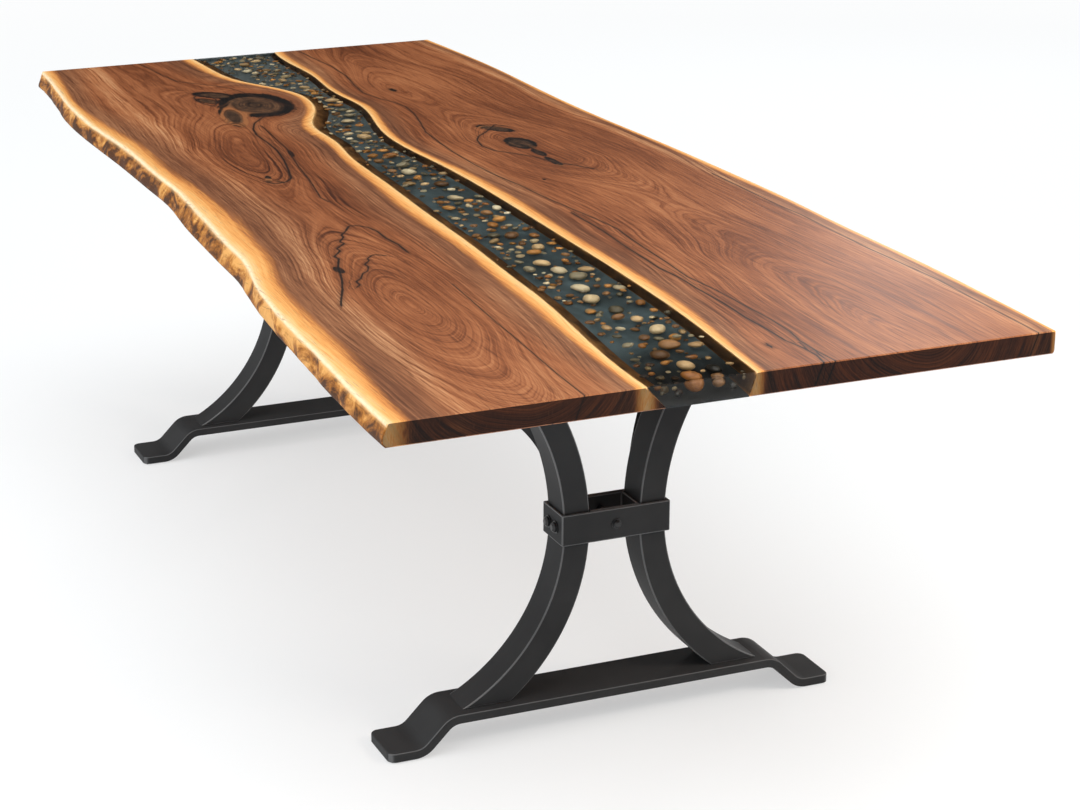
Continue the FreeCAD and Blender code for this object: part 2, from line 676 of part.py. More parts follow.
# The two slabs, with the pockets for their inserts and screws
SLABS = {"front_slab": (live_side, river_front), "rear_slab": (river_rear, rear_side)}
for name, sides in SLABS.items():
    plank = feature(f"{name}_plank", solid_between(*sides))
    nodes[name] = cut(name, plank, [group(f"{name}_pockets", pockets)])

doc.recompute()
for obj in doc.Objects:
    if "Invalid" in obj.State or "Error" in obj.State:
        raise RuntimeError(f"{obj.Name} failed: {obj.State}")
os.makedirs("parts", exist_ok=True)
for name, obj in nodes.items():
    obj.Label = name
    if obj.Shape.isNull() or not obj.Shape.isValid() or not obj.Shape.Solids:
        raise RuntimeError(f"{name} has no valid solid")
for name, obj in nodes.items():
    obj.Shape.exportStep(f"parts/{name}.step")
    print(name, len(obj.Shape.Solids), round(obj.Shape.Volume))
box = Part.makeCompound([obj.Shape for obj in nodes.values()]).BoundBox
print("box", [round(v, 2) for v in (box.XMin, box.XMax, box.YMin, box.YMax, box.ZMin, box.ZMax)])
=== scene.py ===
import bpy
import json
import math
import numpy as np
from mathutils import Matrix, Vector
from types import SimpleNamespace


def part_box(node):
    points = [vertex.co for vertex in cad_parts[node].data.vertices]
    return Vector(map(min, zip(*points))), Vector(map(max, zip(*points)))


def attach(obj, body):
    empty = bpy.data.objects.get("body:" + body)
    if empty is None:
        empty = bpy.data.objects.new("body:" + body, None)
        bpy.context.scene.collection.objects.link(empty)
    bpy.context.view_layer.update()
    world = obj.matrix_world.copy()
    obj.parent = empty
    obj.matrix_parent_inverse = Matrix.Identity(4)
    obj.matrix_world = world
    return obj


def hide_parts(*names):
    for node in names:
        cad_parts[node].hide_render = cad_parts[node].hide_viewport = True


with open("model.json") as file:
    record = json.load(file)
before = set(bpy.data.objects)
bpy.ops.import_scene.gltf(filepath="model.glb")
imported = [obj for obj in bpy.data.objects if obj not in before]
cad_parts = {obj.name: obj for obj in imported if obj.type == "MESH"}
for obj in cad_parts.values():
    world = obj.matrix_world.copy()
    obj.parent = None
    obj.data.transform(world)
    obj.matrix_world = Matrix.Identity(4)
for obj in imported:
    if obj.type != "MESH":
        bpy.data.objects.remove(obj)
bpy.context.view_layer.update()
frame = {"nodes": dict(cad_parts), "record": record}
STONE_SEED, RIPPLE_SEED = 11, 5
rng = np.random.default_rng(STONE_SEED)

# Levels and half length of the top, from the CAD slab
slab_low, slab_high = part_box("front_slab")
TOP, UNDERSIDE, HALF_LENGTH = (round(size, 6) for size in (slab_high.z, slab_low.z, slab_high.x))


# Shader helpers

MIX_FACTOR, MIX_FIRST, MIX_SECOND, MIX_RESULT = 0, 6, 7, 2


def new_material(name):
    mat = bpy.data.materials.new(name)
    mat.use_nodes = True
    mat.node_tree.nodes.clear()
    return mat


def node(mat, kind, inputs=None, **settings):
    """A shader node; each input is a plain value or another node's output."""
    made = mat.node_tree.nodes.new(kind)
    for key, value in settings.items():
        setattr(made, key, value)
    for key, value in (inputs or {}).items():
        if isinstance(value, bpy.types.NodeSocket):
            mat.node_tree.links.new(value, made.inputs[key])
        else:
            made.inputs[key].default_value = value
    return made


def calc(mat, operation, first, second=0.0):
    return node(mat, "ShaderNodeMath", {0: first, 1: second}, operation=operation).outputs[0]


def vector_calc(mat, operation, first, second):
    return node(mat, "ShaderNodeVectorMath", {0: first, 1: second}, operation=operation).outputs[0]


def component(mat, vector, axis):
    return node(mat, "ShaderNodeSeparateXYZ", {0: vector}).outputs[axis]


def total(mat, *terms, constant=0.0):
    """The sum of outputs, each times a weight, and a constant."""
    result = constant
    for value, weight in terms:
        term = value if weight == 1.0 else calc(mat, "MULTIPLY", value, weight)
        result = calc(mat, "ADD", term, result)
    return result


def product(mat, result, *others):
    for other in others:
        result = calc(mat, "MULTIPLY", result, other)
    return result


def attribute(mat, name, output="Fac"):
    return node(mat, "ShaderNodeAttribute", attribute_name=name).outputs[output]


def noise(mat, vector, scale, detail, roughness, distortion=0.0):
    """Noise drawn out by a scale of its own along each axis."""
    inputs = {"Vector": vector_calc(mat, "MULTIPLY", vector, scale), "Scale": 1.0, "Detail": detail,
              "Roughness": roughness, "Distortion": distortion}
    return node(mat, "ShaderNodeTexNoise", inputs).outputs["Fac"]


def fade(mat, value, start, end, low=0.0, high=1.0):
    """A smooth step from low at start to high at end."""
    inputs = {"Value": value, "From Min": start, "From Max": end, "To Min": low, "To Max": high}
    return node(mat, "ShaderNodeMapRange", inputs, interpolation_type="SMOOTHSTEP").outputs[0]


def hump(mat, value, start, full, falling, end):
    """One between full and falling, and nothing before start or after end."""
    return product(mat, fade(mat, value, start, full), fade(mat, value, falling, end, 1.0, 0.0))


def ramp(mat, factor, stops):
    made = node(mat, "ShaderNodeValToRGB", {"Fac": factor})
    elements = made.color_ramp.elements
    while len(elements) < len(stops):
        elements.new(0.5)
    for element, (place, colour) in zip(elements, stops):
        element.position = place
        element.color = (*colour, 1)
    return made.outputs[0]


def mix(mat, factor, first, second, blend="MIX"):
    """A blend of two colours, each a plain colour or an output."""
    inputs = {MIX_FACTOR: factor}
    for key, colour in ((MIX_FIRST, first), (MIX_SECOND, second)):
        inputs[key] = colour if isinstance(colour, bpy.types.NodeSocket) else (*colour, 1)
    return node(mat, "ShaderNodeMix", inputs, data_type="RGBA", blend_type=blend).outputs[MIX_RESULT]


def bump(mat, height, strength, distance):
    inputs = {"Height": height, "Strength": strength, "Distance": distance}
    return node(mat, "ShaderNodeBump", inputs).outputs[0]


def surface(mat, **inputs):
    """The principled shader with its output; inputs are named with underscores for spaces."""
    named = {key.replace("_", " "): value for key, value in inputs.items()}
    shader = node(mat, "ShaderNodeBsdfPrincipled", named)
    return node(mat, "ShaderNodeOutputMaterial", {"Surface": shader.outputs[0]})


def object_place(mat):
    return node(mat, "ShaderNodeTexCoord").outputs["Object"]


def normal_along(mat):
    """How far the surface faces along the table: one or minus one at its two ends."""
    return component(mat, node(mat, "ShaderNodeNewGeometry").outputs["Normal"], "X")


# Walnut, one function for each layer of its colour

RING_SPACING, YEAR_SPACING = 0.0028, 0.0095


def wood_patterns(mat):
    """Noises that the layers share: some follow the flow of the rings, some the length of the slab."""
    place = object_place(mat)
    waver = total(mat, (noise(mat, place, (3, 6, 6), 3, 0.5), 0.014),
                  (noise(mat, place, (40, 70, 70), 2, 0.5), 0.0014), constant=-0.0077)
    offset = node(mat, "ShaderNodeCombineXYZ", {"Y": waver}).outputs[0]
    flow = vector_calc(mat, "ADD", attribute(mat, "flow", "Vector"), offset)
    grain = vector_calc(mat, "ADD", place, offset)
    return SimpleNamespace(
        flow=flow,
        bands=noise(mat, flow, (0.8, 75, 5), 4, 0.6),
        fine=noise(mat, flow, (3.0, 440, 18), 5, 0.7),
        fibre=noise(mat, grain, (14, 480, 60), 4, 0.65),
        cloud=noise(mat, place, (2.6, 5.0, 5.0), 3, 0.5),
        patches=noise(mat, place, (14, 14, 27), 6, 0.62, 0.7),
        spots=noise(mat, place, (70, 70, 60), 4, 0.7, 0.4),
    )


def growth_lines(mat, flow):
    """Lines of the rings and bolder lines of some years, uneven in spacing and depth."""
    across = component(mat, flow, "Y")
    uneven = noise(mat, flow, (0.4, 38, 3), 3, 0.5)
    ring = calc(mat, "FRACT", total(mat, (across, 1 / RING_SPACING), (uneven, 13.0)))
    ring_depth = fade(mat, noise(mat, flow, (1.5, 24, 4), 2, 0.5), 0.32, 0.68, 0.1, 1.0)
    rings = product(mat, hump(mat, ring, 0.45, 0.93, 0.93, 1.0), ring_depth)
    year = calc(mat, "FRACT", total(mat, (across, 1 / YEAR_SPACING), (uneven, 5.0)))
    year_depth = fade(mat, noise(mat, flow, (1.8, 55, 4), 2, 0.5), 0.42, 0.62)
    years = product(mat, hump(mat, year, 0.72, 0.95, 0.95, 1.0), year_depth, attribute(mat, "bold"))
    return rings, years


def heart_and_sap(mat, wood, rings, years, edge):
    """Red-brown heartwood, duller near the edges, and golden sapwood along them."""
    streak_tone = total(mat, (wood.fine, 1.0), (wood.bands, 0.6), constant=-0.55)
    streaks = product(mat, attribute(mat, "pale"), streak_tone)
    tone = total(mat, (wood.bands, 0.25), (wood.fine, 0.7), (wood.cloud, 0.42), (streaks, 0.75),
                 (rings, -0.11), (years, -0.34), (wood.fibre, 0.5), (attribute(mat, "light"), 1.0),
                 constant=-0.49)
    heart = ramp(mat, tone, [(0.12, (0.04, 0.0115, 0.005)), (0.34, (0.155, 0.046, 0.016)),
                             (0.5, (0.31, 0.107, 0.04)), (0.66, (0.45, 0.185, 0.076)),
                             (0.9, (0.62, 0.34, 0.17))])
    dull = ramp(mat, tone, [(0.12, (0.04, 0.017, 0.0095)), (0.36, (0.135, 0.054, 0.026)),
                            (0.54, (0.27, 0.124, 0.06)), (0.8, (0.58, 0.34, 0.18))])
    heart = mix(mat, fade(mat, edge, 1.4, 3.6, 0.7, 0.0), heart, dull)
    sap_place = total(mat, (edge, 1.0), (wood.bands, 0.5), (wood.fine, 0.2), (wood.fibre, 0.7),
                      constant=-0.7)
    sap_tone = total(mat, (sap_place, 0.9), (wood.fine, 0.65), (wood.fibre, 0.8), constant=-0.7)
    sapwood = ramp(mat, sap_tone, [(0.0, (0.93, 0.61, 0.285)), (0.2, (0.9, 0.52, 0.19)),
                                   (0.45, (0.82, 0.39, 0.115)), (0.75, (0.64, 0.245, 0.063)),
                                   (1.0, (0.4, 0.13, 0.037))])
    return mix(mat, fade(mat, sap_place, 0.62, 1.12), sapwood, heart)


def live_edge_layer(mat, wood, colour):
    """Mottled wood where the bark came off, and a painted highlight, a pale line, along the arris above it.
    """
    mottle = total(mat, (wood.patches, 1.9), (wood.spots, 0.4), (attribute(mat, "mottle"), 1.0),
                   constant=-0.65)
    bark_wood = ramp(mat, mottle, [(0.34, (0.72, 0.37, 0.11)), (0.5, (0.46, 0.19, 0.038)),
                                   (0.6, (0.3, 0.11, 0.02)), (0.74, (0.065, 0.022, 0.005))])
    colour = mix(mat, attribute(mat, "bark"), colour, bark_wood)
    # Painted highlight: a pale line along the live edge's top arris
    painted_arris_highlight = product(mat, attribute(mat, "arris"), fade(mat, wood.spots, 0.3, 0.6, 0.3, 0.7))
    return mix(mat, painted_arris_highlight, colour, (1.0, 0.84, 0.6))


def knot_layer(mat, wood, years, colour):
    """Ragged dark knots with a burnt rim, in a round of darkened wood."""
    ragged = total(mat, (attribute(mat, "knot"), 1.0), (wood.fine, 0.45), (wood.bands, 0.45),
                   (wood.cloud, 0.2), (wood.spots, 0.3), constant=-0.7)
    knot_tone = total(mat, (wood.bands, 0.9), (wood.fine, 1.3), (years, -0.25), (wood.spots, 0.7),
                      constant=-0.9)
    knot_wood = ramp(mat, knot_tone, [(0.28, (0.005, 0.003, 0.0025)), (0.45, (0.022, 0.012, 0.007)),
                                      (0.6, (0.06, 0.031, 0.017)), (0.8, (0.15, 0.07, 0.032))])
    burnt = ramp(mat, wood.bands, [(0.5, (0.004, 0.003, 0.0025)), (0.55, (0.009, 0.005, 0.0035)),
                                   (0.6, (0.3, 0.115, 0.042))])
    colour = mix(mat, fade(mat, ragged, 0.0, 0.42, 0.0, 0.6), colour, (0.15, 0.047, 0.017))
    colour = mix(mat, fade(mat, ragged, 0.42, 0.5), colour, knot_wood)
    return mix(mat, hump(mat, ragged, 0.4, 0.46, 0.72, 0.95), colour, burnt)


def split_layer(mat, wood, colour):
    """Black frayed splits in a darker seam."""
    split = calc(mat, "ABSOLUTE", attribute(mat, "split"))
    frayed = total(mat, (split, 1.0), (wood.fibre, 1.0), (wood.spots, 1.2), constant=-1.1)
    colour = mix(mat, fade(mat, split, 0.8, 5.0, 0.4, 0.0), colour, (0.05, 0.018, 0.009))
    return mix(mat, fade(mat, frayed, 0.5, 1.25, 0.96, 0.0), colour, (0.006, 0.005, 0.0045))


def cut_face_layer(mat, wood, years, edge, colour):
    """Dark end grain, a little lighter in the sapwood, and the rough walls of the river."""
    end_tone = total(mat, (wood.bands, 0.8), (wood.fine, 1.0), (years, -0.3), constant=-0.4)
    end_shade = ramp(mat, end_tone, [(0.35, (0.03, 0.0205, 0.015)), (0.65, (0.14, 0.099, 0.074))])
    end_share = product(mat, attribute(mat, "end"), fade(mat, edge, 0.2, 1.4, 0.78, 1.0))
    colour = mix(mat, end_share, colour, end_shade, "MULTIPLY")
    wall = attribute(mat, "wall")
    wall_wood = ramp(mat, wood.patches, [(0.35, (0.07, 0.03, 0.01)), (0.65, (0.36, 0.17, 0.055))])
    colour = mix(mat, fade(mat, wall, 0.0, 0.5), colour, wall_wood)
    return mix(mat, fade(mat, wall, 0.5, 1.0, 0.0, 0.85), colour, (0.03, 0.02, 0.014))


def walnut():
    """Figured walnut: each layer is laid over those before it, and dark pores over all."""
    mat = new_material("walnut")
    wood = wood_patterns(mat)
    edge = attribute(mat, "sap")
    rings, years = growth_lines(mat, wood.flow)
    colour = heart_and_sap(mat, wood, rings, years, edge)
    colour = live_edge_layer(mat, wood, colour)
    colour = knot_layer(mat, wood, years, colour)
    colour = split_layer(mat, wood, colour)
    colour = cut_face_layer(mat, wood, years, edge, colour)
    colour = mix(mat, fade(mat, wood.fibre, 0.3, 0.45, 0.5, 0.0), colour, (0.06, 0.021, 0.009))
    roughness = total(mat, (wood.fine, 0.14), (attribute(mat, "end"), 0.3), (attribute(mat, "bark"), 0.25),
                      constant=0.32)
    surface(mat, Base_Color=colour, Roughness=roughness, Specular_IOR_Level=0.2,
            Normal=bump(mat, wood.fibre, 0.06, 0.0006))
    return mat


# Other materials

# Places along the river where its bed is painted paler, as painted haze, and near black, as painted shade
PAINTED_HAZE_START, PAINTED_HAZE_END = -1.0, 0.2
END_SHADE_START, END_SHADE_END = HALF_LENGTH - 0.24, HALF_LENGTH - 0.05
# The darkest stones, as a share of their dark tone; painted shade takes the stones near the near end down
# to it
SHADED_STONE_SHARE = 0.2


def clear_resin():
    mat = new_material("river_resin")
    out = surface(mat, Base_Color=(1.0, 1.0, 1.0, 1), Roughness=0.01, IOR=1.28, Transmission_Weight=1.0)
    tint = node(mat, "ShaderNodeVolumeAbsorption", {"Color": (0.52, 0.51, 0.47, 1), "Density": 22.0})
    mat.node_tree.links.new(tint.outputs[0], out.inputs["Volume"])
    return mat


def river_bed():
    """Slate blue, with painted haze (paler) towards the far end, and painted shade (near black) at the near
    end and on faces that look towards the far end.
    """
    mat = new_material("river_bed")
    place = object_place(mat)
    drift = noise(mat, place, (9, 14, 1), 4, 0.55, 0.4)
    along = component(mat, place, "X")
    colour = ramp(mat, drift, [(0.32, (0.08, 0.115, 0.131)), (0.68, (0.195, 0.29, 0.335))])
    # Painted haze: the bed is paler towards the far end
    painted_haze = fade(mat, along, PAINTED_HAZE_START, PAINTED_HAZE_END, 0.75, 0.0)
    colour = mix(mat, painted_haze, colour, (0.29, 0.355, 0.375))
    # Painted shade: the bed goes near black at the near end
    end_shade = fade(mat, along, END_SHADE_START, END_SHADE_END, 0.0, 0.95)
    colour = mix(mat, end_shade, colour, (0.012, 0.012, 0.012))
    # Painted shade: faces looking towards the far end go near black
    painted_outward_shade = fade(mat, normal_along(mat), -0.9, -0.5, 0.9, 0.0)
    colour = mix(mat, painted_outward_shade, colour, (0.014, 0.017, 0.0185))
    surface(mat, Base_Color=colour, Roughness=0.55)
    return mat


def pebble_stone(name, dark, light):
    """Veined stone; its shade attribute makes each pebble lighter or darker, and carries the painted shade
    near the near end.
    """
    mat = new_material(name)
    place = object_place(mat)
    veins = noise(mat, place, (90, 90, 140), 4, 0.6, 0.9)
    grit = noise(mat, place, (900, 900, 900), 2, 0.6)
    tone = total(mat, (veins, 0.45), (attribute(mat, "shade"), 0.6), (grit, 0.14), constant=-0.07)
    shaded_dark = tuple(SHADED_STONE_SHARE * part for part in dark)
    colour = ramp(mat, tone, [(0.0, shaded_dark), (0.15, dark), (0.85, light)])
    surface(mat, Base_Color=colour, Roughness=0.42, Normal=bump(mat, grit, 0.15, 0.0004))
    return mat


def powder_coat(name, dark, light, roughness, specular, rim=None):
    """Satin black paint; a rim colour, a painted highlight, is laid on the rounds between faces across and
    faces along.
    """
    mat = new_material(name)
    place = object_place(mat)
    grain = noise(mat, place, (1500, 1500, 1500), 2, 0.5)
    cloud = noise(mat, place, (7, 7, 7), 3, 0.5)
    colour = ramp(mat, cloud, [(0.3, dark), (0.7, light)])
    # Painted highlight: the rounds between faces across and faces along are painted lighter
    if rim:
        turned = calc(mat, "ABSOLUTE", normal_along(mat))
        colour = mix(mat, hump(mat, turned, 0.15, 0.5, 0.75, 0.97), colour, rim)
    surface(mat, Base_Color=colour, Roughness=roughness, Specular_IOR_Level=specular,
            Normal=bump(mat, grain, 0.12, 0.0003))
    return mat


def plain_finish(name, dark, light, roughness, metallic):
    mat = new_material(name)
    wear = noise(mat, object_place(mat), (260, 260, 260), 3, 0.6)
    colour = ramp(mat, wear, [(0.3, dark), (0.7, light)])
    surface(mat, Base_Color=colour, Roughness=roughness, Metallic=metallic,
            Normal=bump(mat, wear, 0.08, 0.0003))
    return mat


# The dark and the light tone of each colour of pebble
PEBBLES = {
    "cream": ((0.6, 0.44, 0.22), (0.97, 0.86, 0.58)),
    "tan": ((0.36, 0.21, 0.08), (0.82, 0.58, 0.29)),
    "amber": ((0.3, 0.11, 0.022), (0.74, 0.35, 0.085)),
    "grey": ((0.07, 0.06, 0.036), (0.37, 0.315, 0.19)),
    "brown": ((0.1, 0.047, 0.016), (0.42, 0.21, 0.075)),
}
STEEL = {"dark": (0.031, 0.0316, 0.0328), "light": (0.043, 0.044, 0.0455), "roughness": 0.42,
         "specular": 0.03}
MATERIALS = {
    "walnut": walnut(),
    "river_resin": clear_resin(),
    "black_steel": powder_coat("black_steel", **STEEL),
    "black_fastener": plain_finish("black_fastener", (0.015, 0.015, 0.016), (0.03, 0.03, 0.031),
                                   0.38, 0.35),
    "brass": plain_finish("brass", (0.5, 0.33, 0.1), (0.72, 0.5, 0.18), 0.3, 1.0),
    "glide": plain_finish("glide", (0.012, 0.012, 0.012), (0.022, 0.022, 0.022), 0.75, 0.0),
}
for colour, tones in PEBBLES.items():
    MATERIALS[f"pebble_{colour}"] = pebble_stone(f"pebble_{colour}", *tones)
BED = river_bed()
# Foot steel, with a painted highlight on the rounds of its edges
FOOT_STEEL = powder_coat("foot_steel", **STEEL, rim=(0.12, 0.1225, 0.126))
# Painted highlight: a lighter steel for the bevels of eased arrises
EDGE_HIGHLIGHT_STEEL = powder_coat("edge_highlight_steel", (0.07, 0.0715, 0.074), (0.13, 0.1325, 0.136), 0.3, 0.4)


# Mesh helpers

def paint(obj, mat):
    obj.data.materials.clear()
    obj.data.materials.append(mat)


def add_object(name, data):
    obj = bpy.data.objects.new(name, data)
    bpy.context.scene.collection.objects.link(obj)
    return obj


def add_mesh(name, points, faces, mat, replaced, values=None, sharp=40):
    """A smooth piece with point attributes, creased at a sharp angle, in place of CAD nodes."""
    mesh = bpy.data.meshes.new(name)
    mesh.from_pydata(np.asarray(points).tolist(), [], [list(map(int, face)) for face in faces])
    for key, array in (values or {}).items():
        array = np.asarray(array, np.float32)
        kind, field = ("FLOAT_VECTOR", "vector") if array.ndim == 2 else ("FLOAT", "value")
        layer = mesh.attributes.new(key, kind, "POINT")
        layer.data.foreach_set(field, array.ravel())
    mesh.polygons.foreach_set("use_smooth", np.ones(len(mesh.polygons), bool))
    mesh.set_sharp_from_angle(angle=math.radians(sharp))
    obj = add_object(name, mesh)
    paint(obj, mat)
    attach(obj, "root")
    for cad_node in replaced:
        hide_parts(cad_node)


def facing(points, faces, direction):
    """The faces, turned round if the first one looks away from the direction."""
    a, b, c = (points[i] for i in faces[0][:3])
    return faces if np.cross(b - a, c - b) @ np.array(direction) > 0 else faces[:, ::-1]


def ring_faces(count, around):
    """Faces between rings of points, each ring closed."""
    index = np.arange(count * around).reshape(count, around)
    after = np.roll(index, -1, 1)
    return np.stack([index[:-1], after[:-1], after[1:], index[1:]], 2).reshape(-1, 4)


def grid_faces(rows, columns):
    """Faces of a flat grid of points."""
    index = np.arange(rows * columns).reshape(rows, columns)
    return np.stack([index[:-1, :-1], index[1:, :-1], index[1:, 1:], index[:-1, 1:]], 2).reshape(-1, 4)


# Outlines of the top, read off the CAD slabs

LARGEST_LEAN, LEVEL_MARGIN = 0.036, 1e-4


def edge_curves(name, beyond):
    """One long edge of a slab, at the top and at the underside: place across by place along."""
    co = np.array([v.co for v in frame["nodes"][name].data.vertices])
    low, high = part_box(name)
    curves = []
    for z in (TOP, UNDERSIDE):
        level = co[np.abs(co[:, 2] - z) < LEVEL_MARGIN]
        level = level[(level[:, 1] > (low.y + high.y) / 2) == beyond]
        if curves:
            level = level[np.abs(level[:, 1] - curves[0](level[:, 0])) < LARGEST_LEAN]
        xs, first = np.unique(np.round(level[:, 0], 5), return_index=True)
        curves.append(lambda x, xs=xs, ys=level[first, 1]: np.interp(x, xs, ys))
    return curves


EDGES = {"live": edge_curves("front_slab", False), "live_river": edge_curves("front_slab", True),
         "rear_river": edge_curves("rear_slab", False), "rear": edge_curves("rear_slab", True)}


def walls_at(x, z):
    """The place across of the river's front and rear walls, at places along and heights."""
    share = (TOP - z) / (TOP - UNDERSIDE)
    return [EDGES[key][0](x) * (1 - share) + EDGES[key][1](x) * share
            for key in ("live_river", "rear_river")]


# Splits in the top face, given in metres: half width, then a path of (along, across)
FRONT_SPLITS = [
    (0.0022, [(-0.63, -0.1), (-0.611, -0.113), (-0.565, -0.145), (-0.513, -0.164), (-0.457, -0.174),
              (-0.384, -0.174), (-0.315, -0.178), (-0.23, -0.191), (-0.151, -0.208), (-0.084, -0.224),
              (-0.061, -0.242), (-0.053, -0.265), (-0.075, -0.275)]),
    (0.0016, [(-0.771, -0.167), (-0.79, -0.156), (-0.826, -0.15), (-0.865, -0.156), (-0.881, -0.175),
              (-0.862, -0.188), (-0.826, -0.192), (-0.79, -0.186), (-0.76, -0.175)]),
    (0.0013, [(-0.536, -0.139), (-0.422, -0.148), (-0.321, -0.156), (-0.262, -0.166), (-0.163, -0.183),
              (-0.065, -0.196), (0.019, -0.211), (0.078, -0.222), (0.112, -0.218)]),
    (0.0009, [(0.694, -0.211), (0.767, -0.216), (0.871, -0.224), (0.967, -0.23), (1.058, -0.236),
              (1.176, -0.244), (1.3, -0.249)]),
    (0.0012, [(-1.27, -0.199), (-1.193, -0.191), (-1.111, -0.184), (-1.044, -0.174), (-1.002, -0.142),
              (-0.96, -0.11), (-0.924, -0.087), (-0.8, -0.06), (-0.68, -0.02)]),
    (0.0021, [(0.488, -0.209), (0.436, -0.206), (0.389, -0.211), (0.34, -0.209), (0.308, -0.215),
              (0.29, -0.229), (0.288, -0.242), (0.319, -0.259), (0.34, -0.274), (0.355, -0.275),
              (0.38, -0.291), (0.393, -0.287), (0.42, -0.31), (0.435, -0.309), (0.465, -0.33),
              (0.479, -0.327), (0.522, -0.343), (0.548, -0.351), (0.575, -0.357), (0.61, -0.367),
              (0.66, -0.384), (0.708, -0.403), (0.739, -0.414)]),
    (0.0017, [(0.492, -0.252), (0.481, -0.262), (0.482, -0.27), (0.5, -0.285), (0.511, -0.285),
              (0.53, -0.3), (0.545, -0.299), (0.57, -0.309), (0.579, -0.321), (0.607, -0.334),
              (0.62, -0.347), (0.64, -0.347), (0.65, -0.356)]),
]
REAR_SPLITS = [
    (0.0018, [(-0.332, 0.313), (-0.353, 0.298), (-0.299, 0.257), (-0.268, 0.228), (-0.237, 0.212),
              (-0.183, 0.201), (-0.139, 0.209), (-0.098, 0.236), (-0.059, 0.259), (-0.008, 0.275),
              (0.034, 0.3), (0.076, 0.321)]),
    (0.0014, [(-1.265, 0.184), (-1.182, 0.187), (-1.066, 0.194), (-0.947, 0.188), (-0.839, 0.17),
              (-0.759, 0.161), (-0.691, 0.171), (-0.645, 0.187), (-0.587, 0.194), (-0.513, 0.185),
              (-0.432, 0.167), (-0.344, 0.145), (-0.253, 0.137), (-0.164, 0.131), (-0.051, 0.129),
              (0.062, 0.134), (0.133, 0.143), (0.246, 0.15), (0.346, 0.161), (0.418, 0.169),
              (0.487, 0.174), (0.56, 0.167), (0.633, 0.162), (0.727, 0.156), (0.805, 0.149),
              (0.888, 0.156), (0.976, 0.157), (1.061, 0.159), (1.13, 0.155), (1.175, 0.146),
              (1.227, 0.144), (1.3, 0.146)]),
    (0.0018, [(0.359, 0.148), (0.413, 0.147), (0.491, 0.146), (0.577, 0.139), (0.656, 0.135),
              (0.738, 0.131), (0.809, 0.135), (0.876, 0.133), (0.963, 0.133), (1.035, 0.129),
              (1.117, 0.129), (1.165, 0.127), (1.208, 0.134), (1.246, 0.134), (1.3, 0.122)]),
    (0.0012, [(0.2, 0.507), (0.457, 0.504), (0.528, 0.508), (0.645, 0.504), (0.782, 0.501),
              (0.88, 0.503), (0.984, 0.505), (1.101, 0.497), (1.183, 0.492), (1.3, 0.487)]),
]

# Each slab, given in metres; its figure lies on the top face.
# out: the way its outer face looks. live: 1 where that face is a live edge.
# belly, waves, under_round: swell of that face, its ripples (length, height) and the round below it.
# sap_widths: at the outer edge, growth along, at the river. sap_depth: where it ends on the outer face.
# streak: a pale line, place in from the outer edge and half width. wall_dark: 0.5 brown to 1 black.
# pith: (along, across). ovals: (along, half length, strength). light: (along, across, strength).
# bold: (along, across, half length, half breadth, strength).
# knots: (along, across, half length, half breadth, turn in degrees, strength).
SLABS = {
    "front": {
        "node": "front_slab", "outer": "live", "inner": "live_river", "out": -1.0, "live": 1.0,
        "belly": 0.0025, "waves": [(0.31, 0.0016), (0.13, 0.0012), (0.061, 0.0005)], "under_round": 0.004,
        "wall_dark": 0.5, "sap_widths": (0.04, 0.009, 0.026), "sap_depth": math.inf,
        "streak": (0.11, 0.022),
        "pith": [(-1.3, -0.24), (-0.95, -0.2), (-0.7, -0.15), (-0.38, -0.24), (0.1, -0.27), (0.5, -0.295),
                 (0.77, -0.312), (1.3, -0.33)],
        "ovals": [(-0.36, 0.5, 0.7), (0.77, 0.5, 0.995)],
        "bold": [(-0.2, -0.2, 0.5, 0.12, 0.9), (0.35, -0.25, 0.25, 0.08, 0.7)],
        "light": [(0.8, -0.28, 0.08), (-0.3, -0.2, -0.04), (0.05, -0.21, -0.05)],
        "knots": [(-0.737, -0.088, 0.11, 0.066, 0, 1.0), (-0.866, -0.142, 0.048, 0.024, 40, 1.0),
                  (-0.645, -0.166, 0.085, 0.021, -7, 0.95), (-0.815, -0.172, 0.033, 0.015, 20, 0.9),
                  (0.545, -0.35, 0.022, 0.008, 0, 0.75), (-0.095, -0.265, 0.026, 0.006, -12, 0.75),
                  (-0.066, -0.252, 0.014, 0.004, 20, 0.75), (-0.277, -0.161, 0.03, 0.005, -8, 0.8)],
        "splits": FRONT_SPLITS,
    },
    "rear": {
        "node": "rear_slab", "outer": "rear", "inner": "rear_river", "out": 1.0, "live": 0.0,
        "belly": 0.0, "waves": [], "under_round": 0.0025,
        "wall_dark": 0.85, "sap_widths": (0.013, 0.0, 0.021), "sap_depth": 0.012,
        "streak": (0.035, 0.012),
        "pith": [(-1.3, 0.3), (-0.76, 0.235), (-0.45, 0.26), (-0.17, 0.285), (0.2, 0.335), (0.6, 0.335),
                 (1.1, 0.303), (1.3, 0.298)],
        "ovals": [(-0.76, 0.3, 0.6), (-0.14, 0.32, 0.99), (1.2, 0.9, 0.93)],
        "bold": [(-0.2, 0.27, 0.3, 0.09, 0.7), (0.9, 0.15, 0.5, 0.06, 0.5)],
        "light": [(1.0, 0.35, 0.05), (-0.2, 0.28, -0.04)],
        "knots": [(-0.178, 0.28, 0.046, 0.025, 0, 1.0), (-0.32, 0.285, 0.042, 0.016, 30, 0.95),
                  (-0.09, 0.281, 0.03, 0.009, 0, 0.95), (-0.01, 0.277, 0.04, 0.008, 0, 0.85),
                  (-0.76, 0.228, 0.025, 0.01, 0, 0.5), (1.178, 0.094, 0.016, 0.005, 0, 0.5),
                  (0.113, 0.203, 0.008, 0.004, 0, 0.6)],
        "splits": REAR_SPLITS,
    },
}


# Figure of the wood

